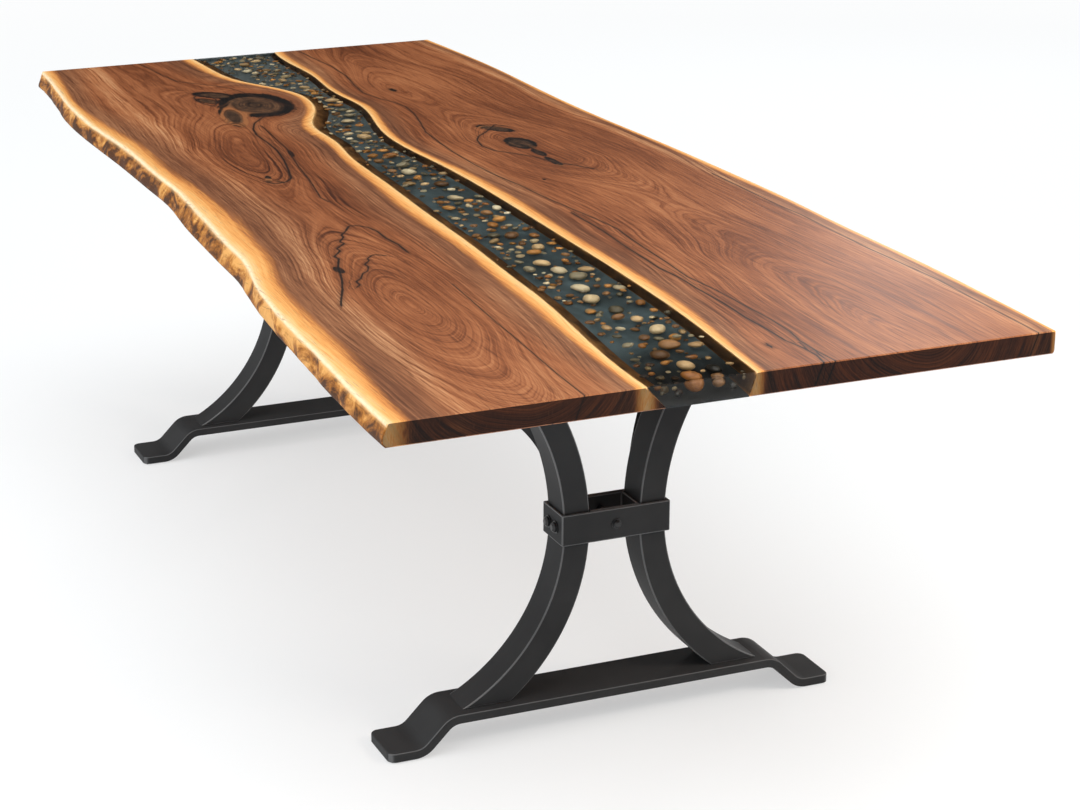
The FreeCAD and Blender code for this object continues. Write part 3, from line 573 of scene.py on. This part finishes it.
# Rings: depth of the pith in half widths, half width in metres; waves are (height, rate along, rate across)
PITH_DEPTH, LEAST_DEPTH, HALF_WIDTH, RING_SCALE = 0.62, 0.003, 0.21, 0.2
RING_WAVES = [(0.0022, 7.1, 23), (0.0016, 17, -31)]
# Knots: rings turn round those longer than a least length
LEAST_TURNING, KNOT_RADIUS, KNOT_RISE, KNOT_BLEND, KNOT_REACH = 0.03, 0.0622, 0.04, 0.006, 1.6
# Sapwood: waves of its width are (share, rate along, start)
OUTER_SAP_WAVES = [(0.2, 3.1, 1.0), (0.15, 8.3, 0.0)]
RIVER_SAP_WAVES = [(0.22, 2.7, 0.4), (0.15, 9.1, 0.0)]
# Pale streak beside the river: place in from the wall, half width; place along, half length
RIVER_STREAK_IN, RIVER_STREAK_ALONG, RIVER_STREAK_STRENGTH = (0.06, 0.016), (0.05, 0.5), 0.5
LIGHT_LENGTH, LIGHT_BREADTH, LEAST_BOLD = 0.42, 0.13, 0.25
SPLIT_REACH, SPLIT_LEAN, NO_SPLIT = 0.03, 0.4, 40.0


def bell(value, middle, reach):
    """One at the middle, falling smoothly to nothing a few reaches away."""
    return np.exp(-((value - middle) / reach) ** 2)


def wavy(x, waves):
    return 1 + sum(share * np.sin(rate * x + start) for share, rate, start in waves)


def split_field(x, y, splits):
    """Signed distance to the nearest split, over its half width."""
    best = np.full(x.shape, SPLIT_REACH)
    field = np.full(x.shape, NO_SPLIT)
    for half, path in splits:
        path = np.array(path)
        for p, q in zip(path[:-1], path[1:]):
            run = q - p
            t = np.clip(((x - p[0]) * run[0] + (y - p[1]) * run[1]) / (run @ run), 0, 1)
            dx, dy = x - p[0] - t * run[0], y - p[1] - t * run[1]
            away = np.hypot(dx, dy)
            side = np.sign(run[0] * dy - run[1] * dx)
            closer = away < best
            field = np.where(closer, side * away / half, field)
            best = np.where(closer, away, best)
    return field


def knot_distance(knot, x, y):
    """Distance from the middle of a knot, in its own half sizes."""
    along, across, half_length, half_breadth, turn = knot[:5]
    c, s = math.cos(math.radians(turn)), math.sin(math.radians(turn))
    dx, dy = x - along, y - across
    return np.hypot((c * dx + s * dy) / half_length, (c * dy - s * dx) / half_breadth)


def ring_radius(spec, x, y, z, low, high):
    """Distance from the pith, which nears the face at the ovals; the rings turn round the larger knots."""
    pith = np.interp(x, *np.array(spec["pith"]).T)
    share = np.where(y < pith, (y - pith) / (pith - low), (y - pith) / (high - pith))
    depth = 1 - sum(strength * bell(x, middle, reach) for middle, reach, strength in spec["ovals"])
    depth = PITH_DEPTH * np.sqrt(np.clip(depth, LEAST_DEPTH, 1)) + (TOP - z) / HALF_WIDTH
    radius = RING_SCALE * np.hypot(share, depth)
    for knot in spec["knots"]:
        if knot[2] > LEAST_TURNING:
            around = KNOT_RADIUS + KNOT_RISE * knot_distance(knot, x, y)
            nearer = np.exp(-radius / KNOT_BLEND) + np.exp(-around / KNOT_BLEND)
            radius = -KNOT_BLEND * np.log(nearer)
    return radius + sum(height * np.sin(along * x + across * y) for height, along, across in RING_WAVES)


def figure_fields(spec, x, y, z):
    """Point attributes of the wood: flow along and across the rings, sapwood, knots, splits and tones."""
    outer, inner = (EDGES[spec[side]][0](x) for side in ("outer", "inner"))
    to_outer, to_inner = np.abs(y - outer), np.abs(y - inner)
    radius = ring_radius(spec, x, y, z, np.minimum(outer, inner), np.maximum(outer, inner))
    outer_sap, growth, river_sap = spec["sap_widths"]
    outer_sap = (outer_sap + growth * x) * wavy(x, OUTER_SAP_WAVES)
    river_sap = river_sap * wavy(x, RIVER_SAP_WAVES)
    knots = [knot[-1] * np.clip(KNOT_REACH - knot_distance(knot, x, y), 0, 1) for knot in spec["knots"]]
    river_streak = bell(to_inner, *RIVER_STREAK_IN) * bell(x, *RIVER_STREAK_ALONG)
    light = sum(strength * bell(x, along, LIGHT_LENGTH) * bell(y, across, LIGHT_BREADTH)
                for along, across, strength in spec["light"])
    bold = sum(strength * bell(x, along, length) * bell(y, across, breadth)
               for along, across, length, breadth, strength in spec["bold"])
    return {"flow": np.stack([x, radius, z], 1),
            "sap": np.minimum(to_outer / outer_sap, to_inner / river_sap),
            "knot": np.max(knots, 0),
            "pale": np.maximum(bell(to_outer, *spec["streak"]), RIVER_STREAK_STRENGTH * river_streak),
            "light": light,
            "bold": LEAST_BOLD + bold,
            "split": split_field(x, y + SPLIT_LEAN * (TOP - z), spec["splits"])}


# Slabs

# Points along a slab, and in turn across its top, down its outer face, under it and up its river wall
ALONG, ACROSS, DOWN, UNDER, UP = 520, 100, 13, 9, 7
FACE_END = ACROSS + DOWN - 1
UNDER_END = FACE_END + UNDER - 1
OUTER_FACE, RIVER_WALL, END_FACE = 1, 2, 3
ARRIS, ARRIS_SHARE, END_ROUND = 0.003, 0.25, 0.0016
FACE_CURVE, UNDER_ROUND_START = 1.15, 0.82
WAVE_BEND, WAVE_BEND_RATE = 0.8, 90
# Reach of the painted arris highlight, and fade of the bare live edge
ARRIS_HIGHLIGHT_REACH, BARK_FADE = 0.004, 0.005
MOTTLE_START, MOTTLE_FADE, LOWER_MOTTLE, FARTHER_MOTTLE = 0.008, 0.02, 0.14, 0.09
LOWER_RANGE, FARTHER_RANGE = (-0.4, 1.0), (-1.0, 0.4)


def ripple(x, z, waves):
    """A smooth uneven surface: waves are (length, height) in metres."""
    phases = np.random.default_rng(RIPPLE_SEED).uniform(0, 2 * math.pi, (len(waves), 2))
    rise = 0.0
    for (length, height), (along, up) in zip(waves, phases):
        bend = WAVE_BEND * np.sin(WAVE_BEND_RATE * z + up)
        rise = rise + height * np.sin(2 * math.pi * x / length + along + bend)
    return rise


def strip(x, y, z):
    return np.stack(np.broadcast_arrays(x, y, z), 2)


def slab_section(spec, x, shrink):
    """Points round a slab's section at each station, in turn: top, outer face, underside, river wall."""
    x = x[:, None]
    out = spec["out"]
    outer_top, outer_low = (curve(x) for curve in EDGES[spec["outer"]])
    river_top, river_low = (curve(x) + out * shrink for curve in EDGES[spec["inner"]])
    upper, lower = TOP - shrink, UNDERSIDE + shrink
    end = outer_top - out * (ARRIS + shrink)
    top = strip(x, river_top + (end - river_top) * np.linspace(0, 1, ACROSS), upper)
    down = np.linspace(0, 1, DOWN)[None, 1:]
    turn = np.clip(down / ARRIS_SHARE, 0, 1) * math.pi / 2
    rest = np.clip((down - ARRIS_SHARE) / (1 - ARRIS_SHARE), 0, 1)
    face_z = upper - ARRIS * (1 - np.cos(turn)) - (upper - lower - ARRIS) * rest
    face_y = end + out * ARRIS * np.sin(turn) + (outer_low - outer_top) * rest ** FACE_CURVE
    swell = np.sin(math.pi * rest) * (spec["belly"] + ripple(x, face_z, spec["waves"]))
    under_round = np.clip((rest - UNDER_ROUND_START) / (1 - UNDER_ROUND_START), 0, 1) ** 2
    face_y = face_y + out * (swell - under_round * spec["under_round"])
    face = strip(x, face_y, face_z)
    low_y = face_y[:, -1:]
    bottom = strip(x, low_y + (river_low - low_y) * np.linspace(0, 1, UNDER)[1:], face_z[:, -1:])
    up = np.linspace(0, 1, UP)[None, 1:-1]
    wall = strip(x, river_low + (river_top - river_low) * up, lower + (upper - lower) * up)
    return np.concatenate([top, face, bottom, wall], 1)


def end_cap(ring):
    """A grid of points that fills the end of a slab, blended from the four sides of its section."""
    top, outer, low = ring[:ACROSS], ring[ACROSS - 1:FACE_END], ring[UNDER_END - 1]
    s = np.linspace(0, 1, ACROSS)[:, None, None]
    t = np.linspace(0, 1, DOWN)[None, :, None]
    inner = top[0] + (low - top[0]) * t
    bottom = low + (outer[-1] - low) * s
    sides = (1 - t) * top[:, None] + t * bottom + (1 - s) * inner + s * outer[None]
    upper_corners = (1 - t) * ((1 - s) * top[0] + s * top[-1])
    lower_corners = t * ((1 - s) * low + s * outer[-1])
    return sides - upper_corners - lower_corners


def face_fields(spec, kinds, x, y, z):
    """Point attributes of the faces: the painted arris highlight, the bare live edge, the river wall and
    the ends.
    """
    depth = TOP - z
    to_outer = y - EDGES[spec["outer"]][0](x)
    lower = np.clip((depth - MOTTLE_START) / MOTTLE_FADE, *LOWER_RANGE)
    farther = np.clip(-x, *FARTHER_RANGE)
    # The arris attribute carries the painted highlight along the live edge's top arris
    return {"arris": spec["live"] * bell(to_outer, 0, ARRIS_HIGHLIGHT_REACH) * (depth < ARRIS_HIGHLIGHT_REACH),
            "bark": spec["live"] * (kinds == OUTER_FACE) * np.clip((depth - ARRIS) / BARK_FADE, 0, 1),
            "mottle": LOWER_MOTTLE * lower + FARTHER_MOTTLE * farther,
            "wall": spec["wall_dark"] * (kinds == RIVER_WALL),
            "end": kinds == END_FACE}


def make_slab(spec):
    xs = np.linspace(-HALF_LENGTH + END_ROUND, HALF_LENGTH - END_ROUND, ALONG)
    ends = [slab_section(spec, np.array([sign * HALF_LENGTH]), END_ROUND) for sign in (-1, 1)]
    rings = np.concatenate([ends[0], slab_section(spec, xs, 0.0), ends[1]], 0)
    ring_kinds = np.zeros(rings.shape[:2], int)
    ring_kinds[:, ACROSS:FACE_END] = OUTER_FACE
    ring_kinds[:, UNDER_END:] = RIVER_WALL
    points, kinds = rings.reshape(-1, 3), ring_kinds.ravel()
    faces = facing(points, ring_faces(*rings.shape[:2]), (0, 0, 1))
    for sign, ring in zip((-1, 1), ends):
        cap = end_cap(ring[0]).reshape(-1, 3)
        cap_faces = facing(cap, grid_faces(ACROSS, DOWN), (sign, 0, 0))
        faces = np.concatenate([faces, cap_faces + len(points)])
        points = np.concatenate([points, cap])
        kinds = np.concatenate([kinds, np.full(len(cap), END_FACE)])
    x, y, z = points.T
    values = {**figure_fields(spec, x, y, z), **face_fields(spec, kinds, x, y, z)}
    values["sap"] = values["sap"] + (kinds == OUTER_FACE) * (TOP - z) / spec["sap_depth"]
    add_mesh(spec["node"], points, faces, MATERIALS["walnut"], [spec["node"]], values)


for spec in SLABS.values():
    make_slab(spec)


# River: clear resin over a thin dark bed, with a sheet inside its far end whose side looking out is painted
# shade

BED_TOP, LET_IN, RESIN_END = UNDERSIDE + 0.002, 0.0004, HALF_LENGTH - 0.0004
FACE_GAP, BED_OVERLAP, RIVER_CHAMFER, RIVER_STATIONS = 0.0001, 0.0005, 0.0014, 300
# The sheet inside the far end, painted shade on its outward side: places in from the end, and gap below the
# top
FILM_OUTSIDE, FILM_INSIDE, FILM_COVER = 0.0003, 0.002, 0.003


def river_mesh(name, xs, low, high, chamfer, mat):
    """A length of the river between two levels, let a little way into the slabs so that no air shows."""
    lows, highs = np.full_like(xs, low), np.full_like(xs, high)
    highs[[0, -1]] -= chamfer
    low_front, low_rear = walls_at(xs, lows)
    high_front, high_rear = walls_at(xs, highs)
    corners = [(low_front - LET_IN, lows), (low_rear + LET_IN, lows),
               (high_rear + LET_IN, highs), (high_front - LET_IN, highs)]
    points = np.stack([np.stack([xs, y, z], 1) for y, z in corners], 1).reshape(-1, 3)
    ends = np.arange(len(points)).reshape(-1, 4)[[0, -1]]
    caps = [facing(points, end[None], (sign, 0, 0)) for end, sign in zip(ends, (-1, 1))]
    sides = facing(points, ring_faces(len(xs), 4), (0, 0, -1))
    add_mesh(name, points, np.concatenate([sides, *caps]), mat, ["resin_river"])


inner_end = RESIN_END - RIVER_CHAMFER
stations = np.array([-RESIN_END, *np.linspace(-inner_end, inner_end, RIVER_STATIONS), RESIN_END])
shade_sheet = np.array([FILM_OUTSIDE, FILM_INSIDE]) - RESIN_END
clear_low = BED_TOP - BED_OVERLAP
river_mesh("river_clear", stations, clear_low, TOP - FACE_GAP, RIVER_CHAMFER, MATERIALS["river_resin"])
river_mesh("river_bed", stations, UNDERSIDE + FACE_GAP, BED_TOP, 0.0, BED)
# A sheet inside the far end, painted shade on its outward side
river_mesh("river_far_end_shade_sheet", shade_sheet, clear_low, TOP - FILM_COVER, 0.0, BED)


# Pebbles: an uneven stone in place of each round CAD one, and gravel between them

# Stones: height over length, growth over the CAD size, sizes in metres; ranges of form and turn
STONE_HEIGHT, LARGEST_GROWTH, LARGEST_STONE, STONE_COVER = 0.62, 1.7, 0.042, 0.0012
PLAN_LENGTH, PLAN_BREADTH, SQUARENESS = (0.94, 1.0), (0.6, 0.9), (0.85, 1.0)
DENTS, DENT_DEPTH, DENT_RATE, DENT_START = 4, (0.03, 0.09), (1.0, 2.0), (0.0, 6.3)
HEADING, TILT = (-0.4, 1.0), (-0.25, 0.25)
PEBBLE_CREASE = 80
# Gravel: some of it lies in a strip beside the ends, and its mixture changes along the river
GRAVEL_LENGTH, GRAVEL_SKEW, GRAVEL_FLATNESS, GRAVEL_TRIES = (0.009, 0.026), 1.6, 0.62, 900
GRAVEL_ROOM, GRAVEL_COVER = 1.06, 0.002
GRAVEL_END_SHARE, GRAVEL_END_GAP, GRAVEL_END_STRIP = 0.05, 0.6, 0.08
NEAR_GRAVEL = ("brown", "amber", "tan", "brown", "grey", "amber", "brown", "cream", "amber", "grey", "tan",
               "brown")
FAR_GRAVEL = ("cream", "tan", "brown", "tan", "amber", "cream", "grey")
FAR_GRAVEL_END = -0.2
# Painted shade: the stones darken towards the near end
END_PAINTED_SHADE, END_PAINTED_SHADE_LENGTH = 0.8, 0.2


def islands(obj):
    """Lowest and highest corner of each separate solid in a CAD node."""
    co = np.array([v.co for v in obj.data.vertices])
    keys, same = np.unique(np.round(co, 6), axis=0, return_inverse=True)
    parent = np.arange(len(keys))

    def root(i):
        while parent[i] != i:
            parent[i] = parent[parent[i]]
            i = parent[i]
        return i

    for edge in obj.data.edges:
        a, b = (root(same[i]) for i in edge.vertices)
        parent[a] = b
    roots = np.array([root(i) for i in range(len(keys))])
    return [(keys[roots == r].min(0), keys[roots == r].max(0)) for r in np.unique(roots)]


def stone_form(rows, columns):
    """Points and faces of a ball, to be shaped into pebbles."""
    lat = np.linspace(-math.pi / 2, math.pi / 2, rows)[1:-1, None]
    lon = np.linspace(0, 2 * math.pi, columns, endpoint=False)
    body = strip(np.cos(lat) * np.cos(lon), np.cos(lat) * np.sin(lon), np.sin(lat))
    points = np.concatenate([body.reshape(-1, 3), [[0, 0, -1], [0, 0, 1]]])
    lowest, highest = len(points) - 2, len(points) - 1
    last_row = (rows - 3) * columns
    faces = []
    for c in range(columns):
        d = (c + 1) % columns
        for row in range(0, last_row, columns):
            faces.append((row + c, row + d, row + columns + d, row + columns + c))
        faces += [(lowest, d, c), (highest, last_row + c, last_row + d)]
    return points, faces


def stone(form, low, high):
    """Points of one pebble that fills the given box as a worn, slightly lopsided stone."""
    half = (high - low) / 2
    plan = half[0] * np.array([rng.uniform(*PLAN_LENGTH), rng.uniform(*PLAN_BREADTH)])
    shape = np.sign(form) * np.abs(form) ** rng.uniform(*SQUARENESS)
    swell = np.ones(len(form))
    for _ in range(DENTS):
        axis = rng.normal(size=3)
        depth = rng.uniform(*DENT_DEPTH)
        swell += depth * np.sin(form @ axis * rng.uniform(*DENT_RATE) + rng.uniform(*DENT_START))
    shape = shape * (swell / swell.max())[:, None] * np.array([plan[0], plan[1], half[2]])
    heading, tilt = rng.uniform(*HEADING), rng.uniform(*TILT)
    shape = shape @ np.array(Matrix.Rotation(tilt, 3, "Y")) @ np.array(Matrix.Rotation(heading, 3, "Z"))
    return shape + (low + high) / 2


def grown(boxes):
    """The boxes, each larger and rounder until it meets a neighbour, a wall or a face of the river."""
    lows, highs = (np.array(corner) for corner in zip(*boxes))
    centres, halves = (lows + highs) / 2, (highs - lows) / 2
    halves[:, 2] = STONE_HEIGHT * halves[:, 0]
    result = []
    for i, (centre, half) in enumerate(zip(centres, halves)):
        apart = np.linalg.norm((centres - centre) / (halves + half), axis=1)
        apart[i] = LARGEST_GROWTH
        front, rear = walls_at(centre[0], centre[2])
        to_end = HALF_LENGTH - STONE_COVER - abs(centre[0])
        room = min(centre[1] - front, rear - centre[1], to_end) / half[0]
        thick = (TOP - BED_TOP - 2 * STONE_COVER) / 2 / half[2]
        half = half * min(apart.min(), room, thick, LARGEST_GROWTH, LARGEST_STONE / (2 * half[0]))
        centre = centre.copy()
        centre[2] = np.clip(centre[2], BED_TOP + STONE_COVER + half[2], TOP - STONE_COVER - half[2])
        result.append((centre - half, centre + half))
    return result


def gravel(taken):
    """Boxes of small stones through the river, clear of its walls and of the stones before them."""
    lows, highs = (np.array(corner) for corner in zip(*taken))
    shortest, longest = GRAVEL_LENGTH
    for _ in range(GRAVEL_TRIES):
        length = shortest + (longest - shortest) * rng.random() ** GRAVEL_SKEW
        half = np.array([length, length, GRAVEL_FLATNESS * length]) / 2
        x = rng.uniform(-1, 1) * (HALF_LENGTH - length)
        if rng.random() < GRAVEL_END_SHARE:
            from_end = GRAVEL_END_GAP * length + GRAVEL_END_STRIP * rng.random()
            x = math.copysign(HALF_LENGTH - from_end, x)
        z = BED_TOP + half[2] + rng.random() * (TOP - BED_TOP - 2 * half[2] - GRAVEL_COVER)
        front, rear = walls_at(x, z)
        free = rear - front - GRAVEL_ROOM * length
        centre = np.array([x, front + GRAVEL_ROOM * length / 2 + rng.random() * free, z])
        apart = np.abs((lows + highs) / 2 - centre) / ((highs - lows) / 2 + half)
        if free > 0 and (np.linalg.norm(apart, axis=1) > 1).all():
            lows, highs = np.vstack([lows, centre - half]), np.vstack([highs, centre + half])
    return list(zip(lows, highs))[len(taken):]


def gravel_of(boxes, colour):
    """The boxes whose turn in the mixture at their place is the given colour."""
    picked = []
    for i, box in enumerate(boxes):
        mixture = FAR_GRAVEL if box[0][0] < FAR_GRAVEL_END else NEAR_GRAVEL
        if mixture[i % len(mixture)] == colour:
            picked.append(box)
    return picked


STONE_FORM, GRAVEL_FORM = stone_form(11, 20), stone_form(7, 12)


def make_pebbles(colour, stones, bits):
    """All stones and gravel of one colour, each with a shade of its own and painted shade near the near
    end.
    """
    points, faces, shades, count = [], [], [], 0
    for (form, form_faces), boxes in ((STONE_FORM, stones), (GRAVEL_FORM, bits)):
        for low, high in boxes:
            points.append(stone(form, low, high))
            faces += [tuple(count + v for v in face) for face in form_faces]
            # Painted shade: stones near the near end are darkened
            painted_shade = END_PAINTED_SHADE * np.clip(1 - (HALF_LENGTH - high[0]) / END_PAINTED_SHADE_LENGTH, 0, 1)
            shades.append(np.full(len(form), rng.uniform(0.0, 1.0) - painted_shade))
            count += len(form)
    name, slot = f"pebbles_{colour}", f"pebble_{colour}"
    add_mesh(name, np.concatenate(points), faces, MATERIALS[slot], [name],
             {"shade": np.concatenate(shades)}, PEBBLE_CREASE)


cad_stones = {colour: islands(frame["nodes"][f"pebbles_{colour}"]) for colour in PEBBLES}
large = grown([box for boxes in cad_stones.values() for box in boxes])
small = gravel(large)
first = 0
for colour, boxes in cad_stones.items():
    make_pebbles(colour, large[first:first + len(boxes)], gravel_of(small, colour))
    first += len(boxes)


# CAD pieces keep their shape and get a finish; steel ones, apart from the feet, get eased arrises with a
# painted highlight

WELD_DISTANCE, FLAT_WEIGHT = 1e-5, 100
EASED_WIDTH, EASED_SEGMENTS, EASED_ANGLE = 0.0022, 3, 50


def ease_arrises(obj):
    """Joins a CAD piece's faces and bevels its sharp edges, with a painted highlight, a lighter colour, on
    the bevels.
    """
    obj.data.materials.append(EDGE_HIGHLIGHT_STEEL)
    weld = obj.modifiers.new("joined_faces", "WELD")
    weld.merge_threshold = WELD_DISTANCE
    ease = obj.modifiers.new("eased_arris", "BEVEL")
    ease.material = len(obj.data.materials) - 1
    ease.width = EASED_WIDTH
    ease.segments = EASED_SEGMENTS
    ease.limit_method = "ANGLE"
    ease.angle_limit = math.radians(EASED_ANGLE)
    obj.modifiers.new("flat_faces", "WEIGHTED_NORMAL").weight = FLAT_WEIGHT


for part in frame["record"]["subparts"]:
    obj = frame["nodes"][part["node"]]
    is_foot = part["node"].endswith("_foot")
    paint(obj, FOOT_STEEL if is_foot else MATERIALS[part["material_slot"]])
    if part["material_slot"] == "black_steel" and not is_foot:
        ease_arrises(obj)


# Studio

WORLD_LIGHT, SUN_SPREAD = 0.25, 75
FLOOR_REACH, FLOOR_FADE_START, FLOOR_FADE_END = 14, 3.5, 9.0
FLAG_PLACE, FLAG_SIDES, FLAG_LEVELS = -5.0, (-1.5, 6.5), (0.8, 4.2)


def add_light(name, place, target, size, power, colour=(1, 1, 1), mirrored=True):
    """A rectangular lamp aimed at a target; reflections leave it out if it isn't mirrored."""
    data = bpy.data.lights.new(name, "AREA")
    data.shape = "RECTANGLE"
    data.size, data.size_y = size
    data.energy = power
    data.color = colour
    obj = add_object(name, data)
    obj.location = place
    obj.rotation_euler = (Vector(target) - Vector(place)).to_track_quat("-Z", "Y").to_euler()
    obj.visible_glossy = mirrored


def add_sun(name, direction, strength):
    data = bpy.data.lights.new(name, "SUN")
    data.energy = strength
    data.angle = math.radians(SUN_SPREAD)
    obj = add_object(name, data)
    obj.rotation_euler = Vector(direction).to_track_quat("Z", "Y").to_euler()


def add_card(name, corners, mat):
    mesh = bpy.data.meshes.new(name)
    mesh.from_pydata(corners, [], [(0, 1, 2, 3)])
    obj = add_object(name, mesh)
    paint(obj, mat)
    return obj


def add_flag():
    """A black card behind the table that only reflections show, so that the top keeps its colour."""
    mat = new_material("flag")
    black = node(mat, "ShaderNodeBsdfDiffuse", {"Color": (0.01, 0.01, 0.01, 1)})
    node(mat, "ShaderNodeOutputMaterial", {"Surface": black.outputs[0]})
    (front, rear), (low, high) = FLAG_SIDES, FLAG_LEVELS
    sides = ((front, low), (rear, low), (rear, high), (front, high))
    obj = add_card("flag", [(FLAG_PLACE, y, z) for y, z in sides], mat)
    obj.visible_camera = False
    obj.visible_diffuse = False
    obj.visible_shadow = False


def background_rays(mat):
    """One for rays from the camera and in mirror or clear surfaces, which see the plain white studio."""
    rays = node(mat, "ShaderNodeLightPath").outputs
    mirror_or_clear = calc(mat, "MAXIMUM", rays["Is Glossy Ray"], rays["Is Transmission Ray"])
    return calc(mat, "MAXIMUM", rays["Is Camera Ray"], mirror_or_clear)


def make_floor():
    """A white floor that takes soft shadows and goes over into the white studio farther out."""
    mat = new_material("floor")
    place = object_place(mat)
    speck = noise(mat, place, (40, 40, 40), 2, 0.5)
    base = ramp(mat, speck, [(0.0, (0.868, 0.906, 0.928)), (1.0, (0.883, 0.921, 0.943))])
    lit = node(mat, "ShaderNodeBsdfDiffuse", {"Color": base})
    white = node(mat, "ShaderNodeEmission", {"Color": (1, 1, 1, 1), "Strength": 1.0})
    away = node(mat, "ShaderNodeVectorMath", {0: place}, operation="LENGTH").outputs["Value"]
    share = product(mat, background_rays(mat), fade(mat, away, FLOOR_FADE_START, FLOOR_FADE_END, 0.5, 1.0))
    both = node(mat, "ShaderNodeMixShader", {0: share, 1: lit.outputs[0], 2: white.outputs[0]})
    node(mat, "ShaderNodeOutputMaterial", {"Surface": both.outputs[0]})
    sides = ((-1, -1), (1, -1), (1, 1), (-1, 1))
    obj = add_card("floor", [(x * FLOOR_REACH, y * FLOOR_REACH, 0) for x, y in sides], mat)


def make_world():
    world = bpy.data.worlds.new("studio")
    bpy.context.scene.world = world
    world.use_nodes = True
    shade = world.node_tree.nodes["Background"]
    shade.inputs["Color"].default_value = (1, 1, 1, 1)
    strength = calc(world, "MAXIMUM", background_rays(world), WORLD_LIGHT)
    world.node_tree.links.new(strength, shade.inputs["Strength"])


make_floor()
make_world()
add_sun("overhead", direction=(0.1, -0.2, 1.0), strength=2.25)
add_light("key", place=(2.0, -5.5, 3.6), target=(0.0, 0.0, 0.5), size=(6.0, 4.0), power=190,
          mirrored=False)
add_light("sheen", place=(-4.0, 3.6, 2.4), target=(0.95, 0.4, 0.76), size=(0.7, 1.0), power=13)
add_light("warm_side", place=(2.3, 2.0, 2.0), target=(0.95, 0.42, 0.76), size=(1.2, 1.2), power=50,
          colour=(1.0, 0.9, 0.8), mirrored=False)
add_flag()


# Camera, fitted to the photograph: place in metres, angles in degrees, lens in millimetres

CAMERA_PLACE = (4.2402, -1.6123, 1.8630)
CAMERA_YAW, CAMERA_PITCH, CAMERA_ROLL = 158.958, -18.876, -0.670
SENSOR_WIDTH, FOCAL_LENGTH, SHIFT_ACROSS = 36, 83.21, 0.1

camera = add_object("camera", bpy.data.cameras.new("camera"))
camera.data.sensor_width = SENSOR_WIDTH
camera.data.lens = FOCAL_LENGTH
camera.data.shift_x = SHIFT_ACROSS
yaw, pitch, roll = (math.radians(angle) for angle in (CAMERA_YAW, CAMERA_PITCH, CAMERA_ROLL))
ahead = Vector((math.cos(pitch) * math.cos(yaw), math.cos(pitch) * math.sin(yaw), math.sin(pitch)))
right = Vector((math.sin(yaw), -math.cos(yaw), 0))
up = right.cross(ahead)
side = math.cos(roll) * right + math.sin(roll) * up
head = -math.sin(roll) * right + math.cos(roll) * up
turned = Matrix((side, head, -ahead)).transposed().to_4x4()
camera.matrix_world = Matrix.Translation(CAMERA_PLACE) @ turned
bpy.context.scene.camera = camera

bpy.context.scene.view_settings.view_transform = "Standard"
